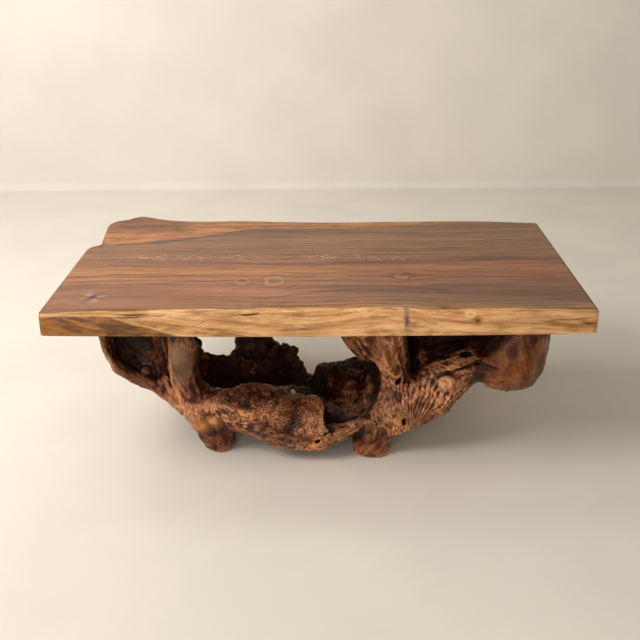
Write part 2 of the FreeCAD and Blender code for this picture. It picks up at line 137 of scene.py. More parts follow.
LATTICE_SIDE = 32


def lattice(points, cell):
    """Each place in cells, and the lattice corner below it. A cell has one length, or one for each axis."""
    place = (points / np.asarray(cell, dtype=np.float32)).astype(np.float32)
    corner = np.floor(place).astype(np.int32)
    return corner, place


def lattice_noise(points, cell, seed):
    """Smooth noise from -1 to 1: random values on a lattice that repeats, blended by smooth steps between them."""
    table = np.random.default_rng(seed).random((LATTICE_SIDE,) * 3, dtype=np.float32) * 2 - 1
    corner, place = lattice(points, cell)
    t = place - corner
    t = t * t * (3 - 2 * t)
    low, high = corner % LATTICE_SIDE, (corner + 1) % LATTICE_SIDE
    x, y, z = ([(low[:, axis], 1 - t[:, axis]), (high[:, axis], t[:, axis])] for axis in range(3))
    total = np.zeros(len(points), dtype=np.float32)
    for (ix, wx), (iy, wy), (iz, wz) in itertools.product(x, y, z):
        total += table[ix, iy, iz] * (wx * wy * wz)
    return total


def layered_noise(points, cell, layers, seed):
    """Layers of lattice noise, each half as large in cell and in height as the one before."""
    total = np.zeros(len(points), dtype=np.float32)
    for layer in range(layers):
        total += lattice_noise(points, np.asarray(cell) / 2**layer, seed + layer) / 2**layer
    return total


def cell_noise(points, cell, seed):
    """Distance from each place to the nearest of the points strewn one to a cell, in cells: about 0 to 1."""
    table = np.random.default_rng(seed).random((LATTICE_SIDE,) * 3 + (3,), dtype=np.float32)
    corner, place = lattice(points, cell)
    nearest = np.full(len(points), 9.0, dtype=np.float32)
    for step in itertools.product((-1, 0, 1), repeat=3):
        other = corner + np.array(step, dtype=np.int32)
        strewn = table[tuple((other % LATTICE_SIDE).T)] + other
        nearest = np.minimum(nearest, ((place - strewn) ** 2).sum(axis=1))
    return np.sqrt(nearest)


def make_object(name, points, faces):
    """A mesh object from whole arrays: points as rows, faces as one array of corners for each count of sides."""
    mesh = bpy.data.meshes.new(name)
    corners = np.concatenate([array.reshape(-1) for array in faces]).astype(np.int32)
    sides = np.concatenate([np.full(len(array), array.shape[1], dtype=np.int32) for array in faces])
    starts = np.concatenate([[0], np.cumsum(sides)[:-1]]).astype(np.int32)
    mesh.vertices.add(len(points))
    mesh.vertices.foreach_set("co", np.ascontiguousarray(points, dtype=np.float32).reshape(-1))
    mesh.loops.add(len(corners))
    mesh.loops.foreach_set("vertex_index", corners)
    mesh.polygons.add(len(sides))
    mesh.polygons.foreach_set("loop_start", starts)
    mesh.polygons.foreach_set("use_smooth", np.full(len(sides), True))
    mesh.update(calc_edges=True)
    mesh.validate()
    made = bpy.data.objects.new(name, mesh)
    bpy.context.scene.collection.objects.link(made)
    return made


def add_values(made, name, values):
    """A number or a vector for each vertex, for the materials to read."""
    values = np.ascontiguousarray(values, dtype=np.float32)
    kind, key = ("FLOAT", "value") if values.ndim == 1 else ("FLOAT_VECTOR", "vector")
    made.data.attributes.new(name, kind, "POINT").data.foreach_set(key, values.reshape(-1))


def node_mesh(node):
    """A frame node's points and triangles at rest."""
    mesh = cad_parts[node].data
    matrix = np.array(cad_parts[node].matrix_world)
    points = np.empty(len(mesh.vertices) * 3, dtype=np.float32)
    mesh.vertices.foreach_get("co", points)
    points = points.reshape(-1, 3) @ matrix[:3, :3].T + matrix[:3, 3]
    mesh.calc_loop_triangles()
    triangles = np.empty(len(mesh.loop_triangles) * 3, dtype=np.int32)
    mesh.loop_triangles.foreach_get("vertices", triangles)
    return points.astype(np.float32), triangles.reshape(-1, 3).astype(np.uint32)


def joined(meshes):
    """Several meshes as one."""
    starts = np.cumsum([0] + [len(points) for points, _ in meshes[:-1]])
    triangles = [triangles + start for (_, triangles), start in zip(meshes, starts)]
    return np.concatenate([points for points, _ in meshes]), np.concatenate(triangles)


# Root field


ADD, DIG = 1, -1


class RootField:
    """Signed distance to the root's wood on an even grid: negative inside, in metres."""

    MARGIN = 0.018
    BAND_VOXELS = 9
    SEAL = 0.0022
    VIEW_SPAN = (1.5, 3.0)
    BLOB_DEPTH = 1.3
    AWAY = 9.0
    # The shelter's lines, in its cells: how near the surface they are wanted, where they start and their step
    LINE_BAND, LINE_START, LINE_STEP = 1.8, 1.1, 1.3

    def __init__(self, voxel):
        self.voxel = voxel
        low = np.array([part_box(node)[0] for node in ROOT_NODES]).min(axis=0) - self.MARGIN
        high = np.array([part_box(node)[1] for node in ROOT_NODES]).max(axis=0) + self.MARGIN
        self.start = np.floor(low / voxel).astype(int)
        self.shape = tuple(np.ceil(high / voxel).astype(int) - self.start + 1)
        self.axes = [
            ((self.start[axis] + np.arange(self.shape[axis])) * voxel).astype(np.float32) for axis in range(3)
        ]
        self.distance = self.from_frame()
        self.lines = None

    def level_set(self, points, triangles, quads=None):
        """Signed distances to a closed mesh, as an array on the grid."""
        grid = openvdb.FloatGrid.createLevelSetFromPolygons(
            np.ascontiguousarray(points, dtype=np.float32),
            triangles=np.ascontiguousarray(triangles, dtype=np.uint32),
            quads=quads,
            transform=openvdb.createLinearTransform(voxelSize=self.voxel),
            halfWidth=self.BAND_VOXELS,
        )
        values = np.full(self.shape, self.BAND_VOXELS * self.voxel, dtype=np.float32)
        grid.copyToArray(values, ijk=tuple(int(i) for i in self.start))
        return values

    def to_grid(self, values):
        """An array on the grid as a level set of openvdb."""
        grid = openvdb.FloatGrid(self.BAND_VOXELS * self.voxel)
        grid.transform = openvdb.createLinearTransform(voxelSize=self.voxel)
        grid.copyFromArray(np.ascontiguousarray(values), ijk=tuple(int(i) for i in self.start))
        grid.gridClass = openvdb.GridClass.LEVEL_SET
        return grid

    def from_frame(self):
        """The frame's root and dowels as one body.

        The body is also mirrored in the slab's underside and in the pads' top, so that the levelled ends don't
        count as surface. It is sealed outwards by a little to close joints and glue gaps, measured afresh, and
        drawn back in by the same amount."""
        bodies = [node_mesh(node) for node in ROOT_NODES]
        bodies.append(joined([node_mesh(node) for node in DOWEL_NODES]))
        body = np.minimum.reduce([self.level_set(*mesh) for mesh in bodies])
        body = np.minimum.reduce([body, self.mirrored(body, UNDERSIDE), self.mirrored(body, PAD_TOP)])
        points, triangles, quads = self.to_grid(body).convertToPolygons(isovalue=self.SEAL)
        return self.level_set(points, triangles, quads) + self.SEAL

    def mirrored(self, values, level):
        """values mirrored in a level plane, read between the grid's layers, and far from wood beyond them."""
        layer = (2 * level - self.axes[2]) / self.voxel - self.start[2]
        last = self.shape[2] - 1
        low = np.clip(np.floor(layer).astype(int), 0, last - 1)
        t = layer - low
        found = values[:, :, low] * (1 - t) + values[:, :, low + 1] * t
        return np.where((layer >= 0) & (layer <= last), found, self.BAND_VOXELS * self.voxel).astype(np.float32)

    def blur(self, values, reach):
        """values averaged over a box of reach to each side, three times over, which comes near a Gaussian."""
        return self.blur_steps(values, max(1, round(reach / self.voxel)))

    def blur_steps(self, values, steps):
        """The same blur, with its reach in steps of the grid."""
        for _ in range(3):
            for axis in range(3):
                borders = [(steps + 1, steps) if a == axis else (0, 0) for a in range(3)]
                sums = np.cumsum(np.pad(values, borders, mode="edge"), axis=axis, dtype=np.float64)
                ahead = np.take(sums, np.arange(2 * steps + 1, sums.shape[axis]), axis=axis)
                behind = np.take(sums, np.arange(0, sums.shape[axis] - 2 * steps - 1), axis=axis)
                values = ((ahead - behind) / (2 * steps + 1)).astype(np.float32)
        return values

    def window(self, low, high):
        """Slices of the grid between two corners, and the coordinates there, ready to broadcast."""
        cuts = []
        for axis in range(3):
            first = int(np.clip(math.floor(low[axis] / self.voxel) - self.start[axis], 0, self.shape[axis] - 1))
            last = int(np.clip(math.ceil(high[axis] / self.voxel) - self.start[axis] + 1, 1, self.shape[axis]))
            cuts.append(slice(first, max(last, first + 1)))
        x, y, z = (self.axes[axis][cuts[axis]] for axis in range(3))
        return tuple(cuts), x[:, None, None], y[None, :, None], z[None, None, :]

    def sample(self, values, points, stride=1):
        """values read at points, blended between the eight grid points round each. The values lie at every
        stride-th point of the grid."""
        place = (points / self.voxel - self.start) / stride
        corner = np.clip(np.floor(place).astype(int), 0, np.array(values.shape) - 2)
        t = np.clip(place - corner, 0, 1)
        total = np.zeros(len(points))
        for step in itertools.product((0, 1), repeat=3):
            weight = np.prod(np.where(step, t, 1 - t), axis=1)
            total += weight * values[tuple((corner + step).T)]
        return total

    def seen_at(self, px, py):
        """Where the camera's ray through a point of the photograph meets the wood, or None where it passes by."""
        origin, direction = photo_ray(px, py)
        steps = np.arange(*self.VIEW_SPAN, self.voxel / 2)
        points = origin + steps[:, None] * direction
        low = self.start * self.voxel
        high = (self.start + np.array(self.shape) - 1) * self.voxel
        inside = np.all((points > low) & (points < high), axis=1)
        if not inside.any():
            return None
        points = points[inside]
        hit = self.sample(self.distance, points) < 0
        return points[np.argmax(hit)] if hit.any() else None

    def blob(self, points, pixel, halves):
        """How many half widths each place lies from a spot seen at a pixel. The half widths are in pixels, across
        and up the photograph, and the larger counts along the view too."""
        centre = self.seen_at(*pixel)
        if centre is None:
            return np.full(len(points), self.AWAY)
        right, up, forward = camera_axes()
        away = points - centre
        pixel_size = (centre - CAMERA_PLACE) @ forward / FOCAL_PIXELS
        across, high = halves
        parts = [away @ right / across, away @ up / high, away @ forward / (self.BLOB_DEPTH * max(halves))]
        return np.sqrt(sum(part**2 for part in parts)) / pixel_size

    def fibre_lines(self):
        """The fibre lines' ends on the wood as it was before it was carved."""
        if self.lines is None:
            ends = [(self.seen_at(*start), self.seen_at(*end)) for start, end in FIBRE_LINES]
            self.lines = [(start, end) for start, end in ends if start is not None and end is not None]
        return self.lines

    def shelter(self, reach=0.26, ways=44, stride=3):
        """How open each place near the surface lies, 0 to 1, on every stride-th point of the grid.

        From just outside the surface, straight lines run out in ways spread evenly on a sphere (the golden
        spiral), each weighed by its cosine with the surface's normal. A line is stopped by wood within reach or
        by the slab, and one that meets the floor counts half."""
        wood = self.distance[::stride, ::stride, ::stride]
        cell = stride * self.voxel
        picked = np.nonzero(np.abs(wood) < self.LINE_BAND * cell)
        normal = np.stack([part[picked] for part in np.gradient(wood)], axis=1)
        normal /= np.linalg.norm(normal, axis=1, keepdims=True) + 1e-9
        places = np.stack(picked, axis=1) + normal * (self.LINE_START - wood[picked] / cell)[:, None]
        number = np.arange(ways)
        level = 1 - (2 * number + 1) / ways
        turn = number * math.pi * (3 - math.sqrt(5))
        flat = np.sqrt(1 - level**2)
        total, weights = np.zeros(len(places)), np.zeros(len(places))
        metres = (places * stride + self.start) * self.voxel
        room = UNDERSIDE - metres[:, 2:]
        most = np.array(wood.shape) - 1
        for way in np.stack([flat * np.cos(turn), flat * np.sin(turn), level], axis=1):
            weight = np.clip(normal @ way, 0, 1)
            light = np.full(len(places), 1.0 if way[2] > 0 else 0.5)
            if way[2] > 0:
                meets = metres[:, :2] + way[:2] * room / way[2]
                light[np.all((meets > SLAB_LOW[:2]) & (meets < SLAB_HIGH[:2]), axis=1)] = 0
            for step in np.arange(1.0, reach / cell, self.LINE_STEP):
                index = np.round(places + way * step).astype(int)
                held = np.all((index >= 0) & (index <= most), axis=1)
                index = np.clip(index, 0, most)
                light[held & (wood[tuple(index.T)] < 0)] = 0
            total += weight * light
            weights += weight
        open_grid, count = np.zeros(wood.shape, np.float32), np.zeros(wood.shape, np.float32)
        open_grid[picked] = total / np.maximum(weights, 1e-6)
        count[picked] = 1
        return self.blur_steps(open_grid, 1) / np.maximum(self.blur_steps(count, 1), 1e-3), stride

    # Shapes that are added to the wood (ADD) or dug out of it (DIG)

    def merge(self, cuts, shape, blend, sign):
        """Smooth union (sign 1) or smooth removal (sign -1): the nearer of the two, rounded over by blend."""
        wood = self.distance[cuts] * sign
        rounding = np.maximum(blend - np.abs(wood - shape), 0) / blend
        self.distance[cuts] = (np.minimum(wood, shape) - rounding**2 * blend / 4) * sign

    def ball(self, centre, radii, blend, sign):
        """An ellipsoid. Its distance is taken as (length of p / radii - 1) times the smallest radius."""
        centre, radii = np.asarray(centre), np.asarray(radii)
        cuts, *place = self.window(centre - radii - 2 * blend, centre + radii + 2 * blend)
        reach = np.sqrt(sum(((p - c) / radius) ** 2 for p, c, radius in zip(place, centre, radii)))
        self.merge(cuts, (reach - 1) * min(radii), blend, sign)

    def bar(self, start, end, radii, blend, sign):
        """A round bar whose radius runs evenly from the first of radii to the second."""
        start, end = np.asarray(start), np.asarray(end)
        reach = max(radii) + 2 * blend
        cuts, *place = self.window(np.minimum(start, end) - reach, np.maximum(start, end) + reach)
        along = end - start
        t = np.clip(sum((p - s) * a for p, s, a in zip(place, start, along)) / along.dot(along), 0, 1)
        away = np.sqrt(sum((p - s - t * a) ** 2 for p, s, a in zip(place, start, along)))
        self.merge(cuts, away - (radii[0] + (radii[1] - radii[0]) * t), blend, sign)

    def near_surface(self, reach):
        """Which cells lie within reach of the surface, and their places as rows."""
        picked = np.nonzero(np.abs(self.distance) < reach)
        points = np.stack([self.axes[axis][picked[axis]] for axis in range(3)], axis=1)
        return picked, points

    def piece(self, low, high):
        """The wood between two corners of a box, levelled under the slab and on the pads, as points and faces."""
        x, y, z = self.axes[0][:, None, None], self.axes[1][None, :, None], self.axes[2][None, None, :]
        held = self.distance
        for values, least, most in ((x, low[0], high[0]), (y, low[1], high[1]), (z, PAD_TOP, UNDERSIDE)):
            held = np.maximum(held, np.maximum(least - values, values - most))
        return self.to_grid(held).convertToPolygons(isovalue=0)


# Shader maths


class Signal:
    """One output of a material's nodes. Arithmetic on it adds Math nodes."""

    def __init__(self, finish, socket):
        self.finish = finish
        self.socket = socket

    def math(self, operation, *values, clamp=False):
        settings = {"operation": operation, "use_clamp": clamp}
        return self.finish.node("ShaderNodeMath", settings, dict(enumerate(values)))

    def __add__(self, other):
        return self.math("ADD", self, other)

    __radd__ = __add__

    def __sub__(self, other):
        return self.math("SUBTRACT", self, other)

    def __rsub__(self, other):
        return self.math("SUBTRACT", other, self)

    def __mul__(self, other):
        return self.math("MULTIPLY", self, other)

    __rmul__ = __mul__

    def __truediv__(self, other):
        return self.math("DIVIDE", self, other)

    def __pow__(self, other):
        return self.math("POWER", self, other)

    def limited(self):
        return self.math("ADD", self, 0.0, clamp=True)

    def size(self):
        return self.math("ABSOLUTE", self)

    def least(self, other):
        return self.math("MINIMUM", self, other)

    def most(self, other):
        return self.math("MAXIMUM", self, other)

    def rise(self, low, high):
        """0 at low, 1 at high and a smooth step between them; low may be the larger."""
        return self.finish.node(
            "ShaderNodeMapRange",
            {"interpolation_type": "SMOOTHSTEP"},
            {"Value": self, "From Min": low, "From Max": high, "To Min": 0.0, "To Max": 1.0},
        )


class Finish:
    """A material under construction."""

    def __init__(self, name):
        self.material = bpy.data.materials.new(name)
        self.material.use_nodes = True
        self.tree = self.material.node_tree
        self.tree.nodes.clear()

    def node(self, kind, settings=None, inputs=None, output=0):
        """A node of any type: its settings first, then the values or links of its sockets. Gives one output."""
        made = self.tree.nodes.new(kind)
        for key, value in (settings or {}).items():
            if key == "stops":
                self.set_stops(made.color_ramp, value)
            else:
                setattr(made, key, value)
        for key, value in (inputs or {}).items():
            if isinstance(value, Signal):
                self.tree.links.new(value.socket, made.inputs[key])
            else:
                made.inputs[key].default_value = value
        return Signal(self, made.outputs[output]) if len(made.outputs) else None

    def set_stops(self, ramp, stops):
        while len(ramp.elements) < len(stops):
            ramp.elements.new(1.0)
        for element, (position, colour) in zip(ramp.elements, stops):
            element.position = position
            element.color = (*colour, 1.0)

    def place(self):
        return self.node("ShaderNodeTexCoord", output="Object")

    def attribute(self, name, output="Fac"):
        return self.node("ShaderNodeAttribute", {"attribute_name": name}, output=output)

    def parts(self, vector):
        """The three numbers of a vector."""
        split = self.node("ShaderNodeSeparateXYZ", inputs={0: vector}).socket.node
        return [Signal(self, socket) for socket in split.outputs]

    def vector_math(self, operation, *values, output="Vector"):
        return self.node("ShaderNodeVectorMath", {"operation": operation}, dict(enumerate(values)), output)

    def distance(self, place, centre, factors):
        """How far a place lies from a centre when each axis counts by its own factor."""
        shifted = self.vector_math("ADD", place, tuple(-c for c in centre))
        return self.vector_math("LENGTH", self.vector_math("MULTIPLY", shifted, factors), output="Value")

    def noise(self, vector, scale, detail=3.0, roughness=0.5, distortion=0.0):
        """Noise at one scale, or at a scale for each axis."""
        if isinstance(scale, tuple):
            vector, scale = self.vector_math("MULTIPLY", vector, scale), 1.0
        inputs = {"Vector": vector, "Scale": scale, "Detail": detail, "Roughness": roughness, "Distortion": distortion}
        return self.node("ShaderNodeTexNoise", inputs=inputs)

    def warped(self, vector, scale, reach):
        """The vector pushed about by noise, by up to about half of reach."""
        inputs = {"Vector": vector, "Scale": scale, "Detail": 2.0}
        push = self.node("ShaderNodeTexNoise", inputs=inputs, output="Color")
        push = self.vector_math("ADD", push, (-0.5, -0.5, -0.5))
        return self.vector_math("MULTIPLY_ADD", push, (reach,) * 3, vector)

    def creases(self, vector, scale):
        """Distance to the nearest border between cells."""
        inputs = {"Vector": vector, "Scale": scale}
        return self.node("ShaderNodeTexVoronoi", {"feature": "DISTANCE_TO_EDGE"}, inputs, output="Distance")

    def ramp(self, value, stops):
        return self.node("ShaderNodeValToRGB", {"stops": stops}, {0: value})

    def mix(self, factor, first, second, blend="MIX"):
        """Two colours mixed; a plain tuple is a colour."""
        first, second = (value if isinstance(value, Signal) else (*value, 1.0) for value in (first, second))
        settings = {"data_type": "RGBA", "blend_type": blend}
        return self.node("ShaderNodeMix", settings, {0: factor, 6: first, 7: second}, output=2)

    def times(self, tone, factors):
        """A colour multiplied by another, channel by channel."""
        return self.mix(1.0, tone, factors, "MULTIPLY")

    def bump(self, height, distance, strength=1.0, normal=None):
        inputs = {"Height": height, "Distance": distance, "Strength": strength}
        if normal:
            inputs["Normal"] = normal
        return self.node("ShaderNodeBump", inputs=inputs)

    def finish(self, **inputs):
        """Closes the material with one Principled shader, whose sockets are given by name with _ for a space."""
        named = {key.replace("_", " "): value for key, value in inputs.items()}
        shader = self.node("ShaderNodeBsdfPrincipled", inputs=named)
        self.node("ShaderNodeOutputMaterial", inputs={"Surface": shader})
        return self.material


# Sizes and colours that a user would change


def length(name, description, millimetres, **limits):
    return FloatProperty(name=name, description=description, default=millimetres * MM, unit="LENGTH", **limits)


def colour(name, description, screen):
    return FloatVectorProperty(
        name=name, description=description, subtype="COLOR", default=shade(*screen), min=0.0, max=1.0
    )


class SlabSizes(PropertyGroup):
    """The slab's skin: how far its edges are worked and how its wood is coloured."""

    ripple: length("Edge ripple", "Depth of the lumps left on the live edges", 3.2, min=0.0)
    upper_shoulder: length("Upper shoulder", "Radius worn on the top's edges", 8.0)
    lower_shoulder: length("Lower shoulder", "Radius sanded on the underside's edges", 3.5)
    corner_radius: length("Corner radius", "Rounding of the sawn ends' upright corners", 9.0)
    sapwood: colour("Sapwood", "Golden edge", (204, 157, 107))
    edgewood: colour("Back edge wood", "Orange strip", (182, 124, 80))


class RootSizes(PropertyGroup):
    """The carved root: fineness of its field, depth of its carving and its varnish colours, with its painted
    highlights and painted shade.
    """

    voxel: length("Voxel", "Cell of the field that the root is carved in", 3.0)
    flute_depth: length("Flute depth", "Depth of the grooves that follow the limbs", 3.0)
    lump_depth: length("Lump depth", "Height of the burl's lumps", 4.0)
    # Colour of the rubbed high places: wear, and painted highlights.
    ridge_colour: colour("Ridges", "Rubbed high places", (206, 146, 106))
    body_colour: colour("Body", "Varnished wood", (72, 36, 20))
    # Colour of the creases and hollows: dirt, and painted shade.
    recess_colour: colour("Recesses", "Dark hollows", (34, 17, 11))


class StageSizes(PropertyGroup):
    """The plain studio: floor, wall and light."""

    floor_colour: colour("Floor", "Pale floor and wall", (222, 216, 206))
    key_power: FloatProperty(
        name="Key light", description="Power of the large soft light at the upper left", default=80.0, min=0.0
    )
    sky_strength: FloatProperty(
        name="Ambient", description="Strength of the even light from all round", default=0.35, min=0.0
    )


# Stage


class TABLE_OT_stage(Operator):
    """Make the floor, the wall, the lights and the camera"""

    bl_idname = "root_table.stage"
    bl_label = "Stage"

    FLOOR_REACH = 6.0
    WALL_PLACE = 2.26
    COVE_RADIUS = 0.04
    COVE_STEPS = 12
    SKY = (1.0, 0.915, 0.80, 1.0)
    MIDDLE = (0.0, 0.0, UNDERSIDE / 2)
    # Square lamps: name, place, target, side, share of the key light's power, colour.
    LAMPS = (
        ("key", (-2.1, -1.2, 2.4), MIDDLE, 1.6, 1.0, (1.0, 0.96, 0.90)),
        ("fill", (-1.4, -4.4, 1.5), MIDDLE, 2.0, 0.60, (1.0, 0.955, 0.90)),
        ("wash", (-1.7, 0.5, 2.3), (-0.9, 2.2, 0.6), 1.2, 0.36, (1.0, 0.98, 0.96)),
    )

    def execute(self, context):
        sizes = context.scene.root_table_stage
        self.make_floor(sizes)
        self.make_lights(context, sizes)
        self.make_camera(context)
        return {"FINISHED"}

    def make_floor(self, sizes):
        """One sheet carried along X: flat floor, a quarter circle of COVE_RADIUS, then the upright wall."""
        turn = np.linspace(0, math.pi / 2, self.COVE_STEPS + 1)
        cove = self.WALL_PLACE + self.COVE_RADIUS * (np.sin(turn) - 1)
        across = np.concatenate([[-self.FLOOR_REACH], cove, cove[-1:]])
        height = np.concatenate([[0.0], self.COVE_RADIUS * (1 - np.cos(turn)), [self.FLOOR_REACH]])
        count = len(across)
        rows = [np.stack([np.full(count, side * self.FLOOR_REACH), across, height], axis=1) for side in (-1, 1)]
        index = np.arange(count - 1)
        faces = np.stack([index, index + count, index + count + 1, index + 1], axis=1)
        floor = make_object("studio_floor", np.concatenate(rows), [faces])
        finish = Finish("studio_floor")
        floor.data.materials.append(self.floor_material(finish, tuple(sizes.floor_colour)))

    def floor_material(self, finish, colour):
        """Matt plaster and stone: a faint cloudiness in the colour, nothing that takes the eye."""
        cloud = finish.noise(finish.place(), 3.0, detail=5.0)
        dark, light = (tuple(min(share * c, 1) for c in colour) for share in (0.97, 1.03))
        tone = finish.mix(cloud.rise(0.3, 0.7), dark, light)
        return finish.finish(Base_Color=tone, Roughness=0.75, Specular_IOR_Level=0.25)

    def make_lights(self, context, sizes):
        world = bpy.data.worlds.new("studio")
        world.use_nodes = True
        background = world.node_tree.nodes["Background"]
        background.inputs["Color"].default_value = self.SKY
        background.inputs["Strength"].default_value = sizes.sky_strength
        context.scene.world = world
        for name, place, target, size, share, colour in self.LAMPS:
            data = bpy.data.lights.new(name, "AREA")
            data.shape = "SQUARE"
            data.size = size
            data.energy = share * sizes.key_power
            data.color = colour
            lamp = bpy.data.objects.new(name, data)
            lamp.location = place
            lamp.rotation_euler = (Vector(target) - Vector(place)).to_track_quat("-Z", "Y").to_euler()
            context.scene.collection.objects.link(lamp)

    def make_camera(self, context):
        right, up, forward = camera_axes()
        data = bpy.data.cameras.new("photograph")
        data.lens = LENS
        data.sensor_width = SENSOR_WIDTH
        data.sensor_fit = "HORIZONTAL"
        camera = bpy.data.objects.new("photograph", data)
        turn = Matrix((right, up, -forward)).transposed().to_4x4()
        camera.matrix_world = Matrix.Translation(CAMERA_PLACE) @ turn
        context.scene.collection.objects.link(camera)
        context.scene.camera = camera
        context.scene.view_settings.view_transform = "Standard"


# Slab


# The live edges follow the frame's slab. A row is X, Y where the top ends, Y where the underside ends, as shares.
SLAB_LENGTH = 2 * float(SLAB_HIGH[0])
SLAB_DEPTH = -2 * float(SLAB_LOW[1])
FRONT_EDGE_SHARES = [
    (-0.500, -0.479, -0.486), (-0.424, -0.473, -0.490), (-0.328, -0.467, -0.492), (-0.208, -0.483, -0.497),
    (-0.165, -0.494, -0.498), (-0.112, -0.471, -0.499), (-0.050, -0.452, -0.500), (0.000, -0.441, -0.500),
    (0.040, -0.428, -0.499), (0.080, -0.446, -0.497), (0.120, -0.459, -0.496), (0.183, -0.452, -0.495),
    (0.237, -0.447, -0.494), (0.324, -0.463, -0.492), (0.430, -0.473, -0.488), (0.500, -0.482, -0.483),
]
BACK_EDGE_SHARES = [
    (-0.500, 0.086, 0.086), (-0.4975, 0.114, 0.118), (-0.488, 0.136, 0.142), (-0.478, 0.152, 0.158),
    (-0.481, 0.198, 0.204), (-0.488, 0.306, 0.312), (-0.490, 0.400, 0.407), (-0.480, 0.433, 0.440),
    (-0.455, 0.458, 0.467), (-0.442, 0.483, 0.488), (-0.426, 0.500, 0.500), (-0.407, 0.490, 0.490),
    (-0.380, 0.465, 0.470), (-0.349, 0.444, 0.454), (-0.306, 0.430, 0.442), (-0.188, 0.431, 0.441),
    (-0.071, 0.415, 0.428), (0.023, 0.406, 0.420), (0.138, 0.409, 0.423), (0.232, 0.412, 0.424),
    (0.371, 0.409, 0.418), (0.500, 0.383, 0.388),
]


CURVE_STEPS = 40


def even_curve(points, count):
    """A Catmull-Rom curve through points, spaced by their distances, read at count even steps of its length."""
    points = np.asarray(points, dtype=float)
    knots = np.concatenate([[0], np.cumsum(np.linalg.norm(np.diff(points, axis=0), axis=1))])
    slopes = np.gradient(points, knots, axis=0)
    fine = np.linspace(0, knots[-1], CURVE_STEPS * len(points))
    i = np.clip(np.searchsorted(knots, fine, side="right") - 1, 0, len(points) - 2)
    span = (knots[i + 1] - knots[i])[:, None]
    t = (fine - knots[i])[:, None] / span
    curve = (
        (2 * t**3 - 3 * t**2 + 1) * points[i]
        + (t**3 - 2 * t**2 + t) * span * slopes[i]
        + (3 * t**2 - 2 * t**3) * points[i + 1]
        + (t**3 - t**2) * span * slopes[i + 1]
    )
    length = np.concatenate([[0], np.cumsum(np.linalg.norm(np.diff(curve, axis=0), axis=1))])
    wanted = np.linspace(0, length[-1], count)
    return np.stack([np.interp(wanted, length, curve[:, axis]) for axis in range(2)], axis=1)


def on_top(pixel):
    """The place on the slab's top that is seen at a pixel."""
    return on_plane(pixel, 2, SLAB_TOP)


def on_front(pixel):
    """The place on the slab's front, taken as upright, that is seen at a pixel."""
    return on_plane(pixel, 1, SLAB_LOW[1])


# Places read from the photograph, as pixels of its 640 x 640 frame.
FRONT_SAPWOOD_PIXELS = [
    (37, 311.6), (49, 311.6), (103, 310.0), (152, 309.2), (206, 308.4), (240, 309.2), (269, 307.5), (330, 305.7),
    (398, 306.5), (430, 307.6), (465, 307.0), (494, 307.2), (520, 307.5), (560, 308.0), (597, 309.0),
]
BACK_SAPWOOD_PIXELS = [
    (99, 244.5), (130, 243), (151, 241.4), (170, 238.8), (196, 236.9), (222, 233.2), (239, 230.5), (258, 228.6),
    (309, 228.4), (348, 228), (379, 227), (419, 224.8), (456, 222.6), (500, 221),
]
# Dark figure that runs along the top: pixels along each line, and half its width at the middle (mm).
TOP_LINES = {
    "main_streak": ([(246, 298), (262, 298.6), (292, 295), (330, 291), (362, 288.6), (396, 290), (420, 288)], 5.0),
    "right_streak": ([(412, 290), (430, 285), (458, 283.6), (482, 284.5), (510, 284)], 6.0),
    "left_check": ([(60, 277.2), (84, 277.4), (112, 274.8), (140, 274.6), (183, 273.2)], 2.6),
    "middle_check": ([(138, 284.6), (160, 283.6), (186, 281.6), (230, 280.8)], 2.6),
    "knot_check": ([(402, 280.2), (418, 279.8), (446, 277.4)], 3.2),
    "right_check": ([(446, 277.4), (470, 275.0), (500, 276.6), (516, 278)], 2.0),
    "far_check": ([(410, 262), (440, 259.6), (476, 259.8), (520, 258.4), (566, 262.5)], 3.0),
    "back_line": ([(88, 249), (104, 245.6), (140, 244.2), (176, 240.6), (232, 234)], 5.5),
    "orange_check": ([(112, 277.6), (150, 276.6), (196, 274.8)], 2.4),
}
# Knots in the top: pixel, and half widths along and across the grain (mm).
TOP_KNOTS = {
    "ringed": ((274, 281), (19, 27)),
    "faint": ((242, 281), (15, 20)),
    "star": ((91.5, 297.5), (16, 24)),
    "cracked": ((402, 276), (22, 26)),
}
# Blue-grey stain beside the back line: pixel and half widths (mm).
BLUE_PIXEL, BLUE_HALVES = (160, 243.2), (26, 14)
# Splits in the front edge: from pixel, to pixel, half height and depth (mm).
FRONT_SPLITS = [
    ((104, 318.6), (151, 319.2), 0.9, 3.8), ((104, 321.2), (150, 320.4), 0.8, 3.8),
    ((146, 319.6), (167, 318.8), 0.8, 3.0), ((180, 315.8), (210, 315.4), 0.7, 2.0),
    ((232, 317.2), (262, 318.0), 1.1, 4.0), ((48, 321.5), (74, 318.0), 0.8, 1.5),
    ((548, 324.0), (601, 321.0), 1.2, 2.8), ((584, 326.5), (601, 326.0), 1.5, 3.8),
    ((340, 331.5), (385, 327.0), 1.2, 1.9),
]
# Bark seam, pin knot and brown knot in the front edge: pixel, half widths (mm), colours of the rim and the middle.
FRONT_MARKS = [
    ((407.5, 323), (7, 24), shade(146, 114, 98), shade(100, 70, 62)),
    ((472.0, 318.5), (12, 6), shade(226, 182, 124), shade(188, 138, 88)),
    ((478.5, 323.5), (11, 9), shade(158, 106, 66), shade(104, 64, 42)),
]
# Where the brown of the left end gives way to gold, down the front edge.
LEFT_BROWN_PIXELS = ((101, 318.5), (176, 337))


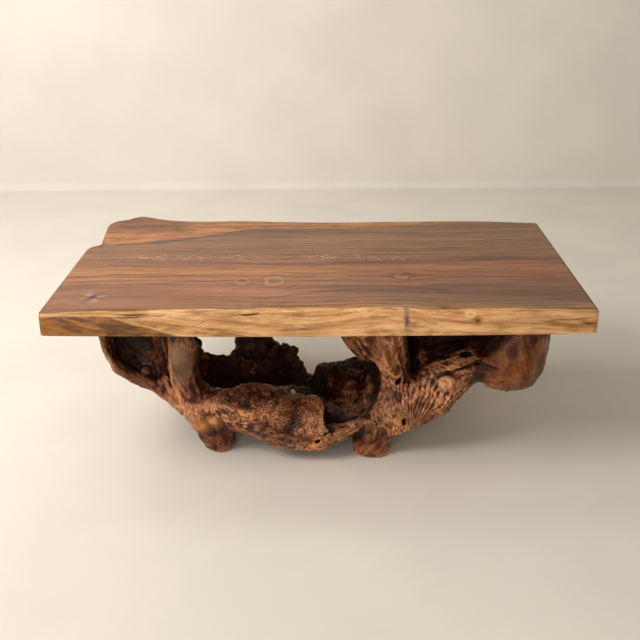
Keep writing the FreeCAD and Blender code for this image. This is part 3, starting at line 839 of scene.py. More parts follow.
class TABLE_OT_slab(Operator):
    """Lay the slab's skin over the board: two live edges, two sawn ends, a flat top"""

    bl_idname = "root_table.slab"
    bl_label = "Slab"

    ALONG = 460
    ACROSS = 52
    LEVELS = 36
    CORNER_STEPS = 5
    AFTER = ALONG + ACROSS - 2
    WAY_POWER = 2.4
    CORNER_SAMPLES = 13
    LUMP_CELL, RIPPLE_CELL, SAW_CELL = (0.085, 0.085, 0.026), (0.030, 0.030, 0.006), (0.02, 0.02, 0.001)
    RIPPLE_DEPTH, SAW_DEPTH = 0.9 * MM, 0.25 * MM
    SPLIT_WAVE, SPLIT_SOFTNESS = 0.8 * MM, 0.5 * MM

    def execute(self, context):
        sizes = context.scene.root_table_slab
        rings, heights = self.rings(sizes)
        points, faces = self.join(rings, heights)
        points = self.carve_edges(points, rings, sizes)
        slab = make_object("live_edge_slab_skin", np.clip(points, SLAB_LOW, SLAB_HIGH), faces)
        self.add_attributes(slab, points)
        slab.data.materials.append(slab_material(sizes))
        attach(slab, "root")
        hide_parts("live_edge_slab")
        return {"FINISHED"}

    def rings(self, sizes):
        """The outline at each level: from the underside's outline to the top's by way = level ** WAY_POWER, and
        drawn in at the two corners by a quarter circle of the shoulder."""
        thickness = SLAB_TOP - UNDERSIDE
        turn = np.linspace(0, math.pi / 2, self.CORNER_STEPS + 1)
        low, high = sizes.lower_shoulder, sizes.upper_shoulder
        middle = np.linspace(low, thickness - high, self.LEVELS - 2 * self.CORNER_STEPS)[1:-1]
        rise = np.concatenate([low * (1 - np.cos(turn)), middle, thickness - high * (1 - np.sin(turn))])
        drawn = np.concatenate([low * (1 - np.sin(turn)), 0 * middle, high * (1 - np.cos(turn))])
        rings = []
        for height, inset in zip(rise, drawn):
            way = (height / thickness) ** self.WAY_POWER
            front, back = (
                even_curve(
                    [(x * SLAB_LENGTH, (foot + (top - foot) * way) * SLAB_DEPTH) for x, top, foot in rows], self.ALONG
                )
                for rows in (FRONT_EDGE_SHARES, BACK_EDGE_SHARES)
            )
            v = self.steps_across()[1:-1, None]
            right = front[-1] + (back[-1] - front[-1]) * v
            left = back[0] + (front[0] - back[0]) * v
            ring = self.round_corners(np.concatenate([front, right, back[::-1], left]), sizes.corner_radius)
            rings.append(ring - self.outward(ring) * inset)
        return rings, UNDERSIDE + rise

    def steps_across(self):
        """Shares from front to back, closer together at both: (1 - cos) / 2."""
        return (1 - np.cos(np.linspace(0, math.pi, self.ACROSS))) / 2

    def round_corners(self, ring, radius):
        """The outline averaged over a window of its own length that is as long as the corner's radius."""
        steps = np.linalg.norm(np.roll(ring, -1, axis=0) - ring, axis=1)
        length = np.concatenate([[0], np.cumsum(steps)])
        closed = np.concatenate([ring, ring[:1]])
        total = np.zeros_like(ring)
        for offset in np.linspace(-radius, radius, self.CORNER_SAMPLES):
            wanted = (length[:-1] + offset) % length[-1]
            total += np.stack([np.interp(wanted, length, closed[:, axis]) for axis in range(2)], axis=1)
        return total / self.CORNER_SAMPLES

    def outward(self, ring):
        """The unit normal of a closed outline that runs anticlockwise."""
        along = np.roll(ring, -1, axis=0) - np.roll(ring, 1, axis=0)
        normal = np.stack([along[:, 1], -along[:, 0]], axis=1)
        return normal / np.maximum(np.linalg.norm(normal, axis=1, keepdims=True), 1e-9)

    def sheet(self, ring):
        """The ruled grid between an outline's front and back: (1 - v) front + v back."""
        front = ring[: self.ALONG]
        back = ring[self.AFTER : self.AFTER + self.ALONG][::-1]
        v = self.steps_across()[:, None, None]
        return front + (back - front) * v

    def join(self, rings, heights):
        """One closed mesh: the stack of rings, and the inner points of the underside's and the top's sheet."""
        count = len(rings[0])
        levels = len(rings)
        stack = np.concatenate([np.column_stack([ring, np.full(count, z)]) for ring, z in zip(rings, heights)])
        index = np.arange(levels * count).reshape(levels, count)
        following = np.roll(index, -1, axis=1)
        band = np.stack([index[:-1], following[:-1], following[1:], index[1:]], axis=-1).reshape(-1, 4)
        points, faces = [stack], [band]
        start = len(stack)
        for level in (0, -1):
            grid = np.empty((self.ACROSS, self.ALONG), dtype=int)
            inner = self.sheet(rings[level])[1:-1, 1:-1].reshape(-1, 2)
            grid[1:-1, 1:-1] = start + np.arange(len(inner)).reshape(self.ACROSS - 2, self.ALONG - 2)
            grid[0] = index[level, : self.ALONG]
            grid[-1] = index[level, self.AFTER : self.AFTER + self.ALONG][::-1]
            grid[1:-1, -1] = index[level, self.ALONG : self.AFTER]
            grid[1:-1, 0] = index[level, self.AFTER + self.ALONG :][::-1]
            quads = np.stack([grid[:-1, :-1], grid[:-1, 1:], grid[1:, 1:], grid[1:, :-1]], axis=-1).reshape(-1, 4)
            points.append(np.column_stack([inner, np.full(len(inner), heights[level])]))
            faces.append(quads if level else quads[:, ::-1])
            start += len(inner)
        return np.concatenate(points), faces

    def carve_edges(self, points, rings, sizes):
        """Lumps, ripples and splits, cut inwards along each outline's normal on the two live edges, and saw marks on
        the two ends."""
        levels, count = len(rings), len(rings[0])
        normals = np.concatenate([self.outward(ring) for ring in rings])
        band = points[: levels * count]
        place = np.tile(np.arange(count), levels)
        live = (place < self.ALONG) | ((place >= self.AFTER) & (place < self.AFTER + self.ALONG))
        height = (band[:, 2] - UNDERSIDE) / (SLAB_TOP - UNDERSIDE)
        fade = smooth_step(0.0, 0.12, height) * smooth_step(1.0, 0.86, height)
        lumps = layered_noise(band, self.LUMP_CELL, 3, 11)
        ripples = layered_noise(band, self.RIPPLE_CELL, 2, 21)
        depth = sizes.ripple * (0.55 + 0.45 * lumps) + self.RIPPLE_DEPTH * (0.5 + 0.5 * ripples)
        depth *= fade * live
        depth += self.SAW_DEPTH * (0.5 + 0.5 * layered_noise(band, self.SAW_CELL, 2, 31)) * fade * ~live
        splits = self.splits(band) * (place < self.ALONG) * fade
        points[: levels * count, :2] -= normals * (depth + splits)[:, None]
        self.split_depth = np.zeros(len(points))
        self.split_depth[: levels * count] = splits
        return points

    def splits(self, band):
        """Depth of the drying splits: each is a groove about a straight line, with a rounded V section."""
        depth = np.zeros(len(band))
        for start, end, half, deep in FRONT_SPLITS:
            start, end = on_front(start), on_front(end)
            along = (band[:, 0] - start[0]) / (end[0] - start[0])
            line = start[2] + (end[2] - start[2]) * along + self.SPLIT_WAVE * np.sin(along * 9)
            taper = np.clip(1 - (2 * along - 1) ** 2, 0, 1) ** 0.5
            away = np.abs(band[:, 2] - line) / (half * MM * taper + self.SPLIT_SOFTNESS)
            depth = np.maximum(depth, deep * MM * taper * np.clip(1.4 - away, 0, 1) * ((along > 0) & (along < 1)))
        return depth

    def beside_line(self, points, pixels):
        """Each point's share of the way along a line on the top, and how far behind the line it lies."""
        line = np.array([on_top(pixel)[:2] for pixel in pixels])
        along = np.clip((points[:, 0] - line[0, 0]) / (line[-1, 0] - line[0, 0]), -0.2, 1.2)
        return along, points[:, 1] - np.interp(points[:, 0], line[:, 0], line[:, 1])

    def add_attributes(self, slab, points):
        """For the wood's colour: distances from the sapwood lines and dark lines, and grain that bends at knots."""
        for name, pixels, side in (("front_sap", FRONT_SAPWOOD_PIXELS, -1), ("back_sap", BACK_SAPWOOD_PIXELS, 1)):
            _, beside = self.beside_line(points, pixels)
            add_values(slab, name, beside * side + (SLAB_TOP - points[:, 2]) * 0.35)
        for name, (pixels, half) in TOP_LINES.items():
            along, beside = self.beside_line(points, pixels)
            taper = np.clip(1 - (2 * along - 1) ** 2, 0.02, 1) ** 0.5
            add_values(slab, name, beside / (half * MM * taper))
        grain = points.copy()
        grain[:, 1] += 0.012 * lattice_noise(points * (1, 1, 0), (0.36, 0.24, 1.0), 41)
        grain[:, 1] += 0.005 * lattice_noise(points * (1, 1, 0), (0.13, 0.08, 1.0), 42)
        for pixel, (half_x, half_y) in TOP_KNOTS.values():
            away = points[:, :2] - on_top(pixel)[:2]
            near = np.exp(-((away[:, 0] / (2.6 * half_x * MM)) ** 2) - (away[:, 1] / (1.5 * half_y * MM)) ** 2)
            grain[:, 1] -= away[:, 1] * near * 0.85
        start, end = (on_front(pixel) for pixel in LEFT_BROWN_PIXELS)
        run = end[0] - start[0]
        slope = (end[2] - start[2]) / run
        reach = 0.35 * run
        level = end[0] - reach * np.log1p(np.exp((end[0] - points[:, 0]) / reach))
        under = smooth_step(2 * MM, 12 * MM, SLAB_TOP - points[:, 2])
        grain[:, 2] -= slope * (level - start[0]) * under
        grain[:, 2] += 0.004 * lattice_noise(points, (0.11, 0.2, 0.05), 43)
        add_values(slab, "grain", grain)
        add_values(slab, "split", self.split_depth / MM)
        add_values(slab, "left_brown", start[2] + slope * (points[:, 0] - start[0]) - points[:, 2])


# Colours across the top, from front to back: share of the way, screen colour. One row for each half of the board.
LEFT_BANDS = [
    (0.02, (168, 122, 92)), (0.08, (158, 114, 90)), (0.16, (166, 120, 93)), (0.24, (158, 112, 87)),
    (0.30, (180, 131, 92)), (0.37, (176, 128, 90)), (0.42, (150, 108, 82)), (0.49, (160, 119, 92)),
    (0.56, (138, 103, 80)), (0.66, (146, 112, 86)), (0.78, (134, 103, 80)), (0.87, (128, 100, 76)),
]
RIGHT_BANDS = [
    (0.02, (150, 116, 84)), (0.08, (128, 95, 78)), (0.16, (122, 89, 73)), (0.24, (132, 94, 74)),
    (0.32, (150, 102, 77)), (0.40, (146, 100, 76)), (0.47, (128, 90, 70)), (0.56, (134, 97, 73)),
    (0.70, (130, 98, 75)), (0.84, (128, 96, 72)),
]
BAND_START, BAND_END = -0.33, 0.33


def banded(finish, across, bands):
    return finish.ramp((across - BAND_START) / (BAND_END - BAND_START), [(t, shade(*colour)) for t, colour in bands])


WIDE, NARROW = 0.20, 0.16


def tint(finish, tone, *rows):
    """The colour darkened where values are low and lightened where they are high. A row is a value that runs about
    0.5, the dark and the light factors, and how far from 0.5 they are reached."""
    for value, dark, light, spread in rows:
        grey = finish.ramp(value, [(0.5 - spread, dark), (0.5, (1.0, 1.0, 1.0)), (0.5 + spread, light)])
        tone = finish.times(tone, grey)
    return tone


def knot_distance(finish, place, centre, halves):
    """How many half widths, given along X and Y in mm, a place lies from a knot's centre."""
    return finish.distance(place, centre, (1 / (halves[0] * MM), 1 / (halves[1] * MM), 0.0))


# The top's kinds of lines: how much they waver and how dark they are.
LINE_KINDS = {"check": (0.5, 0.80), "line": (1.0, 0.80), "streak": (1.0, 0.62)}
LINE_TONE, KNOT_TONE = shade(72, 53, 42), shade(88, 62, 48)
STAIN_TONE, FLECK_TONE = shade(84, 76, 80), shade(206, 172, 144)


def top_figure(finish, place, grain, tone):
    """Dark lines, knots and pale flecks of the top."""
    x, y, _ = finish.parts(place)
    wobble = (finish.noise(place, (25.0, 60.0, 1.0)) - 0.5) * 1.6
    ragged = finish.noise(grain, (9.0, 260.0, 1.0))
    for name in TOP_LINES:
        wavy, depth = LINE_KINDS[name.split("_")[1]]
        mark = (finish.attribute(name) + wobble * wavy).size().rise(1.5, 0.2)
        mark = mark * (ragged.rise(0.2, 0.62) if "streak" in name else 1.0)
        tone = finish.mix(mark * depth, tone, LINE_TONE)
    for name, (pixel, halves) in TOP_KNOTS.items():
        centre = on_top(pixel)
        away = knot_distance(finish, place, centre, halves)
        uneven = away + (finish.noise(place, 44.0) - 0.5) * 1.1
        rings = (uneven * 9.0).math("SINE", uneven * 9.0) * 0.5 + 0.5
        halo = uneven.rise(2.2, 0.9)
        tone = finish.mix(halo * rings * 0.38, tone, KNOT_TONE)
        tone = knot_core(finish, name, place, centre, uneven, tone)
    blue = knot_distance(finish, place, on_top(BLUE_PIXEL), BLUE_HALVES) + wobble * 0.45
    tone = finish.mix(blue.rise(1.3, 0.3) * 0.75, tone, STAIN_TONE)
    flecks = finish.noise(grain, (95.0, 210.0, 1.0), detail=2.0, roughness=0.6)
    row = (y + 0.004 + (finish.noise(place, 6.0) - 0.5) * 0.05).size().rise(0.034, 0.006)
    patches = finish.noise(place, (9.0, 4.0, 1.0)).rise(0.36, 0.54)
    mark = flecks.rise(0.54, 0.66) * row * patches * x.rise(0.30, 0.18) * 0.7
    return finish.mix(mark * 0.8, tone, FLECK_TONE)


def knot_core(finish, name, place, centre, uneven, tone):
    """The middle of each knot of the top, each of its own kind."""
    if name == "ringed":
        tone = finish.mix((uneven - 0.95).size().rise(0.4, 0.05) * 0.42, tone, shade(186, 148, 112))
        return finish.mix(uneven.rise(0.75, 0.35) * 0.7, tone, shade(122, 98, 70))
    if name == "star":
        x, y, _ = finish.parts(finish.vector_math("ADD", place, tuple(-c for c in centre)))
        rays = y.math("ARCTAN2", y * 1.6, x) * 4.0
        rays = rays.math("SINE", rays) * 0.5 + 0.5
        tone = finish.mix(rays * uneven.rise(2.2, 0.6) * 0.5, tone, shade(206, 160, 136))
        tone = finish.mix((1 - rays) * uneven.rise(1.9, 0.5) * 0.6, tone, shade(104, 72, 66))
        return finish.mix(uneven.rise(0.75, 0.25) * 0.9, tone, shade(70, 48, 78))
    if name == "cracked":
        tone = finish.mix(uneven.rise(1.1, 0.6) * 0.6, tone, shade(168, 110, 78))
        tone = finish.mix((uneven - 1.0).size().rise(0.25, 0.05) * 0.5, tone, shade(84, 52, 38))
        spot = knot_distance(finish, place, np.array(centre) + (0.008, 0.010, 0.0), (22, 10))
        spot = spot + (finish.noise(place, 90.0) - 0.5) * 0.9
        return finish.mix(spot.rise(1.2, 0.3) * 0.85, tone, shade(92, 46, 30))
    return finish.mix((uneven - 0.9).size().rise(0.35, 0.05) * 0.4, tone, shade(190, 138, 108))


def front_marks(finish, place, tone):
    """Seam of bark, pin knot and brown knot in the front edge."""
    front_mask = finish.parts(place)[1].rise(-0.29, -0.31)
    rough = finish.noise(place, 160.0, detail=4.0, roughness=0.7)
    for pixel, halves, outer, inner in FRONT_MARKS:
        away = finish.distance(place, on_front(pixel), (1 / (halves[0] * MM), 0.0, 1 / (halves[1] * MM)))
        away = away + (rough - 0.5) * 1.4
        tone = finish.mix(away.rise(1.25, 0.7) * front_mask * 0.85, tone, outer)
        tone = finish.mix(away.rise(0.7, 0.2) * front_mask * 0.9, tone, inner)
    return tone


def heartwood(finish, place, grain, noises):
    """The brown wood of the top: bands across it, streaks, veins and figure, with painted shade on its left half."""
    broad, middle, streak, fibre, vein = noises
    x = finish.parts(place)[0]
    shifted = finish.parts(grain)[1] + (broad - 0.5) * 0.07
    heart = finish.mix(x.rise(-0.20, 0.32), banded(finish, shifted, LEFT_BANDS), banded(finish, shifted, RIGHT_BANDS))
    heart = finish.times(heart, (0.93, 0.87, 0.82))
    # Painted shade: the left half of the top darkened, where the key light at the left falls strongest.
    heart = finish.mix(x.rise(0.1, -0.35), heart, finish.times(heart, (0.84, 0.80, 0.76)))
    heart = tint(
        finish,
        heart,
        (broad, (0.74, 0.73, 0.74), (1.18, 1.15, 1.10), WIDE),
        (middle, (0.64, 0.61, 0.60), (1.22, 1.20, 1.16), NARROW),
        (streak, (0.66, 0.64, 0.64), (1.22, 1.20, 1.16), NARROW),
        (fibre, (0.82, 0.81, 0.80), (1.12, 1.11, 1.10), WIDE),
    )
    return top_figure(finish, place, grain, finish.mix(vein * 0.55, heart, VEIN_TONE))


VEIN_TONE, SAP_VEIN_TONE, SPLIT_TONE = shade(74, 52, 42), shade(112, 70, 36), shade(66, 38, 22)
BROWN_DARK, BROWN_LIGHT, BROWN_STREAK = shade(98, 65, 36), shade(144, 98, 54), shade(164, 104, 60)
# Layers of the slab's grain: scale along and across it, detail and roughness of the noise.
GRAIN_LAYERS = ((1.6, 26.0, 3.0, 0.6), (3.0, 62.0, 4.0, 0.7), (3.6, 125.0, 4.0, 0.7), (16.0, 620.0, 2.0, 0.5))


def slab_material(sizes):
    """Oiled hardwood: brown heartwood in long streaks, golden sapwood at the front, orange wood at the back."""
    finish = Finish("slab_wood")
    place = finish.place()
    x, y, z = finish.parts(place)
    grain = finish.warped(finish.attribute("grain", "Vector"), 3.4, 0.036)
    broad, middle, streak, fibre = (
        finish.noise(grain, (along, across, across), detail=detail, roughness=roughness)
        for along, across, detail, roughness in GRAIN_LAYERS
    )
    blotch = finish.noise(place, (16.0, 30.0, 44.0), detail=4.0, roughness=0.6)
    vein = (finish.noise(grain, (2.2, 48.0, 48.0)) - 0.5).size().rise(0.022, 0.0)
    vein = vein * finish.noise(grain, (5.0, 30.0, 30.0)).rise(0.40, 0.56)
    heart = heartwood(finish, place, grain, (broad, middle, streak, fibre, vein))

    sap = tint(
        finish,
        tuple(sizes.sapwood),
        (broad, (0.72, 0.64, 0.54), (1.16, 1.18, 1.26), WIDE),
        (middle, (0.66, 0.56, 0.46), (1.14, 1.16, 1.20), NARROW),
        (streak, (0.72, 0.64, 0.56), (1.10, 1.12, 1.16), NARROW),
        (blotch, (0.66, 0.56, 0.46), (1.10, 1.12, 1.18), NARROW),
    )
    sap = finish.mix(vein * 0.5, sap, SAP_VEIN_TONE)
    brown = finish.mix(blotch.rise(0.4, 0.6), BROWN_DARK, BROWN_LIGHT)
    brown = finish.mix(middle.rise(0.52, 0.62) * 0.7, brown, BROWN_STREAK)
    brown = tint(finish, brown, (streak, (0.64, 0.60, 0.56), (1.2, 1.16, 1.1), NARROW))
    lower = z.rise(SLAB_TOP - 10 * MM, SLAB_TOP - 14 * MM)
    brown_mask = (finish.attribute("left_brown") + (blotch - 0.5) * 0.02).rise(-3 * MM, 3 * MM) * lower
    sap = finish.mix(brown_mask * y.rise(-0.28, -0.30), sap, brown)

    edge = tint(
        finish,
        finish.times(tuple(sizes.edgewood), (0.86, 0.82, 0.78)),
        (middle, (0.56, 0.48, 0.42), (1.22, 1.2, 1.16), NARROW),
        (blotch, (0.66, 0.60, 0.56), (1.14, 1.12, 1.08), NARROW),
        (streak, (0.70, 0.64, 0.60), (1.12, 1.11, 1.10), NARROW),
    )
    lobe = (x.rise(-0.30, -0.40) * y.rise(0.16, 0.24)).limited()
    edge = finish.mix(lobe, edge, finish.times(edge, (0.54, 0.49, 0.44)))

    wander = (finish.noise(place, (9.0, 30.0, 30.0), detail=4.0) - 0.5) * 0.016
    front = (finish.attribute("front_sap") + wander * 0.5).rise(-1.0 * MM, 3.0 * MM)
    back = (finish.attribute("back_sap") + wander).rise(-8.0 * MM, 10.0 * MM)
    tone = finish.mix(front, finish.mix(back, heart, edge), sap)
    tone = front_marks(finish, place, tone)
    tone = finish.mix(finish.attribute("split").rise(0.6, 3.2) * 0.85, tone, SPLIT_TONE)
    tone = end_grain(finish, place, tone)
    wavy = finish.noise(place, (15.0, 26.0, 42.0), detail=2.0)
    normal = finish.bump(wavy * front, 7.0 * MM, strength=0.7)
    normal = finish.bump(fibre * 0.3 + streak * 0.7, 0.7 * MM, strength=0.6, normal=normal)
    rough = streak.rise(0.2, 0.8) * 0.12 + 0.34
    return finish.finish(
        Base_Color=tone, Roughness=rough, Normal=normal, Coat_Weight=0.04, Coat_Roughness=0.3, Specular_IOR_Level=0.2
    )


LOG_HEART = (0.0, 0.02, UNDERSIDE - 0.12)
RING_RATE = 1500.0


def end_grain(finish, place, tone):
    """Growth rings on the sawn ends: arcs about the log's heart, which lay a little under the board."""
    facing = finish.parts(finish.node("ShaderNodeNewGeometry", output="Normal"))[0].size().rise(0.75, 0.9)
    radius = finish.distance(place, LOG_HEART, (0.0, 1.0, 1.0))
    radius = radius + (finish.noise(place, (1.0, 14.0, 14.0)) - 0.5) * 0.012
    rings = radius.math("SINE", radius * RING_RATE) * 0.5 + 0.5
    rays = finish.noise(place, (1.0, 420.0, 60.0), detail=2.0)
    rough = tint(finish, tone, (rays, (0.72, 0.70, 0.68), (1.12, 1.1, 1.08), WIDE))
    rough = finish.mix(rings * 0.35, rough, shade(74, 48, 32))
    return finish.mix(facing * 0.9, tone, rough)


# Root


# Places on the root, read from the photograph as pixels of its 640 x 640 frame.
# Way that the wood's fibres run: from pixel, to pixel.
FIBRE_LINES = [
    ((172, 342), (212, 438)), ((112, 346), (168, 396)), ((228, 412), (300, 440)), ((372, 343), (392, 400)),
    ((432, 378), (420, 424)), ((392, 402), (366, 446)), ((425, 374), (486, 372)), ((512, 342), (520, 388)),
    ((332, 434), (374, 422)), ((250, 345), (248, 398)),
]
FIBRE_REACH = 55 * MM
# Ridges: pixels along each, half width and height (mm).
RIDGES = [
    ([(163, 340), (168, 360), (175, 384), (183, 405), (190, 414)], 5, 5),
    ([(188, 405), (200, 408), (214, 408), (224, 404)], 10, 6),
    ([(364, 354), (375, 367), (381, 380), (385, 394), (382, 408)], 5, 4),
    ([(430, 373), (445, 368), (460, 361), (476, 357), (492, 364)], 6, 5),
    ([(422, 346), (423, 358), (424, 370)], 7, 7),
    ([(541, 340), (545, 352), (542, 372), (533, 387)], 5, 2.5),
    ([(330, 435), (345, 430), (360, 426), (374, 421)], 6, 4),
    ([(104, 345), (107, 360), (117, 375), (133, 385), (152, 393)], 7, 3),
    ([(376, 345), (384, 362), (392, 376)], 7, 3),
    ([(252, 345), (256, 362), (254, 380)], 8, 4),
]
# Grooves: pixels along each, half width and depth (mm).
GROOVES = [
    ([(325, 408), (324.5, 420), (325.5, 434), (325, 452)], 3.6, 11),
    ([(190, 414), (205, 415), (221, 414), (228, 409), (238, 406)], 2.4, 2.4),
    ([(357, 339), (362, 344), (367, 350), (371, 356)], 2.6, 5),
    ([(410, 339), (410, 350), (411, 361), (414, 371)], 4.5, 12),
    ([(438, 377), (452, 372), (467, 366), (478, 362), (488, 366), (497, 369)], 3.2, 6),
    ([(111, 342), (115, 357), (123, 370), (136, 380), (150, 389)], 4.0, 4),
    ([(156, 376), (157, 384), (155, 391)], 3.0, 5),
    ([(163, 374), (165, 384), (163, 394)], 3.0, 6),
    ([(160, 341), (163, 354), (167, 372), (171, 386)], 4.0, 6),
    ([(401, 341), (400, 356), (404, 370)], 2.6, 3.5),
    ([(388, 350), (392, 364), (397, 374)], 2.6, 3.0),
    ([(205, 418), (213, 426), (216, 436)], 3.0, 2.5),
    ([(352, 436), (368, 433), (384, 434)], 3.0, 2.0),
]
# Knobs and knots: pixel, half width, height of the crown and of the rings round it (mm).
KNOBS = [
    ((145.6, 371.5), 12, 10, 3.0), ((236, 417), 9, -4, 3.5), ((445, 384), 18, 4, 2.5), ((422.7, 381.4), 9, 3, 2.5),
    ((232, 393), 8, 3, 2.0),
]
# Lumps on the broken rims: pixel, radius (mm).
LUMPS = [
    ((283, 347), 15), ((291, 353), 13), ((300, 361), 10), ((297, 372), 11), ((275, 352), 12), ((321, 371), 12),
    ((327, 370), 10), ((352, 367), 14), ((360, 371), 10), ((312, 381), 9), ((236, 353), 14), ((234, 358), 15),
    ((297, 364), 14), ((294, 350), 14),
]
# Bars of wood laid on, for the banks behind the lip, the left foot's flare and the ear's outer edge: from pixel, to
# pixel, shift from there (m), radius (mm).
ADDED_BARS = [
    ((206, 404), (246, 405), (0.0, 0.026, -0.004), 21), ((246, 405), (312, 408), (0.0, 0.026, -0.007), 20),
    ((212, 404), (254, 404), (0.0, 0.062, -0.014), 24), ((254, 404), (300, 405), (0.0, 0.060, -0.012), 26),
    ((191, 412), (208, 437), (-0.004, 0.008, 0.0), 17), ((214, 420), (226, 431), (0.0, 0.008, 0.0), 18),
    ((200, 413), (214, 436), (0.0, 0.006, 0.0), 18), ((243, 405), (264, 405), (0.0, 0.045, 0.008), 22),
    ((103, 350), (108, 361), (-0.002, 0.006, 0.0), 12), ((108, 361), (118, 369), (0.0, 0.006, 0.0), 14),
    ((118, 369), (143, 382), (0.0, 0.006, 0.0), 11), ((143, 382), (164, 392), (0.0, 0.006, 0.0), 11),
    ((164, 392), (177, 404), (0.0, 0.006, 0.0), 12), ((177, 404), (190, 412), (0.0, 0.006, 0.0), 13),
]
# Wood taken away: pixel on it, shift from there (m), half widths (mm).
BITES = [
    ((333, 428), (0.0, 0.006, 0.006), (22, 24, 25)), ((345, 427), (0.0, 0.006, 0.010), (25, 24, 20)),
    ((360, 421), (0.0, 0.006, 0.010), (24, 22, 12)), ((338, 370), (0.0, 0.0, 0.010), (11, 30, 11)),
]
# The left strut's inner side is worked back by a round that runs along the view: pixel of its middle, the Y where it
# starts and ends, radius.
STRUT_CUT = (220.5, 325), (-0.32, -0.05), 73 * MM
# Holes: pixel, half width, how far it is drawn out (mm), which way (degrees right of upright), depth (mm).
HOLES = [
    ((398.7, 381), 6.0, 13, 35, 26), ((404, 422), 5.4, 12, 15, 24), ((318, 441.5), 5.0, 8, 75, 16),
    ((466, 354), 9.0, 17, 88, 30), ((479, 384), 9.0, 20, 82, 34), ((293, 391.5), 8.0, 7, -40, 400),
    ((214, 386), 6.0, 6, 10, 12),
]
# The fan's flutes run down to this pixel.
FAN_CENTRE = (404, 447)
# Masks for the carving and the colours: pixel, half widths in pixels, strength.
MASKS = {
    # Painted shade: places whose colour is darkened where shade falls.
    "dim": [
        ((106, 352), (14, 34), 1.0), ((128, 377), (34, 13), 1.0), ((150, 386), (26, 12), 1.0),
        ((168, 396), (12, 10), 0.5), ((217, 440), (26, 15), 1.0), ((372, 447), (24, 13), 0.7),
        ((522, 366), (52, 44), 1.0), ((296, 406), (26, 13), 1.0), ((336, 424), (12, 14), 0.6),
        ((250, 391), (72, 13), 1.0), ((202, 388), (18, 14), 1.0), ((201, 360), (7, 24), 0.3),
        ((182, 339), (15, 5), 0.8), ((254, 379), (52, 6), 1.0), ((330, 445), (10, 8), 0.4),
    ],
    # Painted light: places whose colour is brightened where the light picks them out.
    "bright": [
        ((250, 409), (15, 8), 0.7), ((268, 416), (12, 10), 0.7), ((315, 430), (9, 20), 0.9),
        ((306, 447), (18, 5), 0.8), ((432, 400), (24, 14), 0.5), ((445, 384), (8, 8), 0.25),
        ((404, 396), (8, 10), 0.5), ((352, 437), (20, 5), 0.8), ((368, 348), (8, 8), 0.5),
        ((544, 352), (5, 20), 0.6), ((165, 349), (2.5, 10), 0.9), ((171, 374), (3, 14), 0.9),
        ((179, 397), (4, 14), 0.9), ((398, 425), (14, 8), 0.5), ((520, 394), (20, 4), 0.4),
    ],
    # Colours.
    "pale": [
        ((181.5, 363.5), (13.5, 21), 1.0), ((145.6, 371), (5, 5), 0.8), ((541, 356), (6, 22), 0.35),
    ],
    "gold": [
        ((205, 424), (17, 11), 0.9), ((352, 343), (13, 7), 0.8), ((384, 362), (16, 22), 0.6),
        ((404, 428), (20, 10), 0.7), ((250, 414), (12, 9), 0.8), ((318, 446), (14, 7), 0.8),
        ((524, 374), (26, 18), 0.6), ((176, 398), (8, 14), 0.4),
    ],
    "red": [
        ((199, 363), (6, 14), 1.0), ((194, 390), (14, 16), 1.0), ((155, 388), (18, 11), 0.9),
        ((130, 380), (14, 9), 0.6), ((371, 366), (4, 10), 1.0), ((380, 382), (5, 14), 0.9),
        ((220, 441), (16, 11), 0.7), ((370, 446), (19, 12), 0.8), ((340, 420), (16, 12), 0.4),
        ((500, 356), (18, 14), 0.4),
    ],
    # Pink wood, with painted highlights where the light glints on the belly and the ledge.
    "pink": [
        ((432, 402), (38, 24), 0.9), ((445, 384), (10, 9), 1.0), ((268, 414), (18, 11), 0.9),
        ((398, 408), (18, 16), 0.7), ((204, 405), (18, 6), 1.0), ((314, 424), (12, 18), 0.8),
        ((170, 368), (4, 34), 0.7),
    ],
    # Painted light in the hollows: places where the light reaches, which are kept out of the painted shade.
    "lit": [
        ((462, 352), (24, 16), 0.9), ((422, 358), (7, 16), 0.9), ((440, 366), (18, 6), 0.9),
        ((342, 406), (28, 16), 1.6), ((350, 386), (26, 18), 1.5), ((150, 380), (16, 12), 0.9),
        ((146, 371), (8, 8), 0.9), ((262, 398), (60, 9), 0.9), ((222, 388), (26, 12), 0.7),
        ((205, 395), (16, 14), 0.8), ((108, 360), (7, 26), 1.0), ((248, 362), (14, 20), 0.45),
        ((262, 386), (46, 9), 0.8), ((201, 362), (7, 18), 1.3),
    ],
    # Ground that the burl's lumps cover.
    "burled": [
        ((292, 422), (44, 26), 1.0), ((262, 400), (44, 12), 1.0), ((322, 438), (16, 18), 1.0),
    ],
    # Ground of the fan of flutes on the right shoulder.
    "fan": [
        ((426, 402), (34, 26), 1.0), ((452, 400), (24, 16), 1.0), ((404, 396), (12, 18), 0.8),
    ],
    # Smooth worn ground.
    "smooth": [
        ((182, 362), (14, 21), 1.0), ((520, 366), (42, 34), 0.95), ((205, 424), (20, 13), 0.9),
        ((204, 403), (20, 6), 0.8), ((384, 358), (14, 20), 0.5), ((370, 446), (18, 10), 0.5),
        ((218, 440), (18, 12), 0.5), ((172, 396), (12, 16), 0.6),
    ],
}


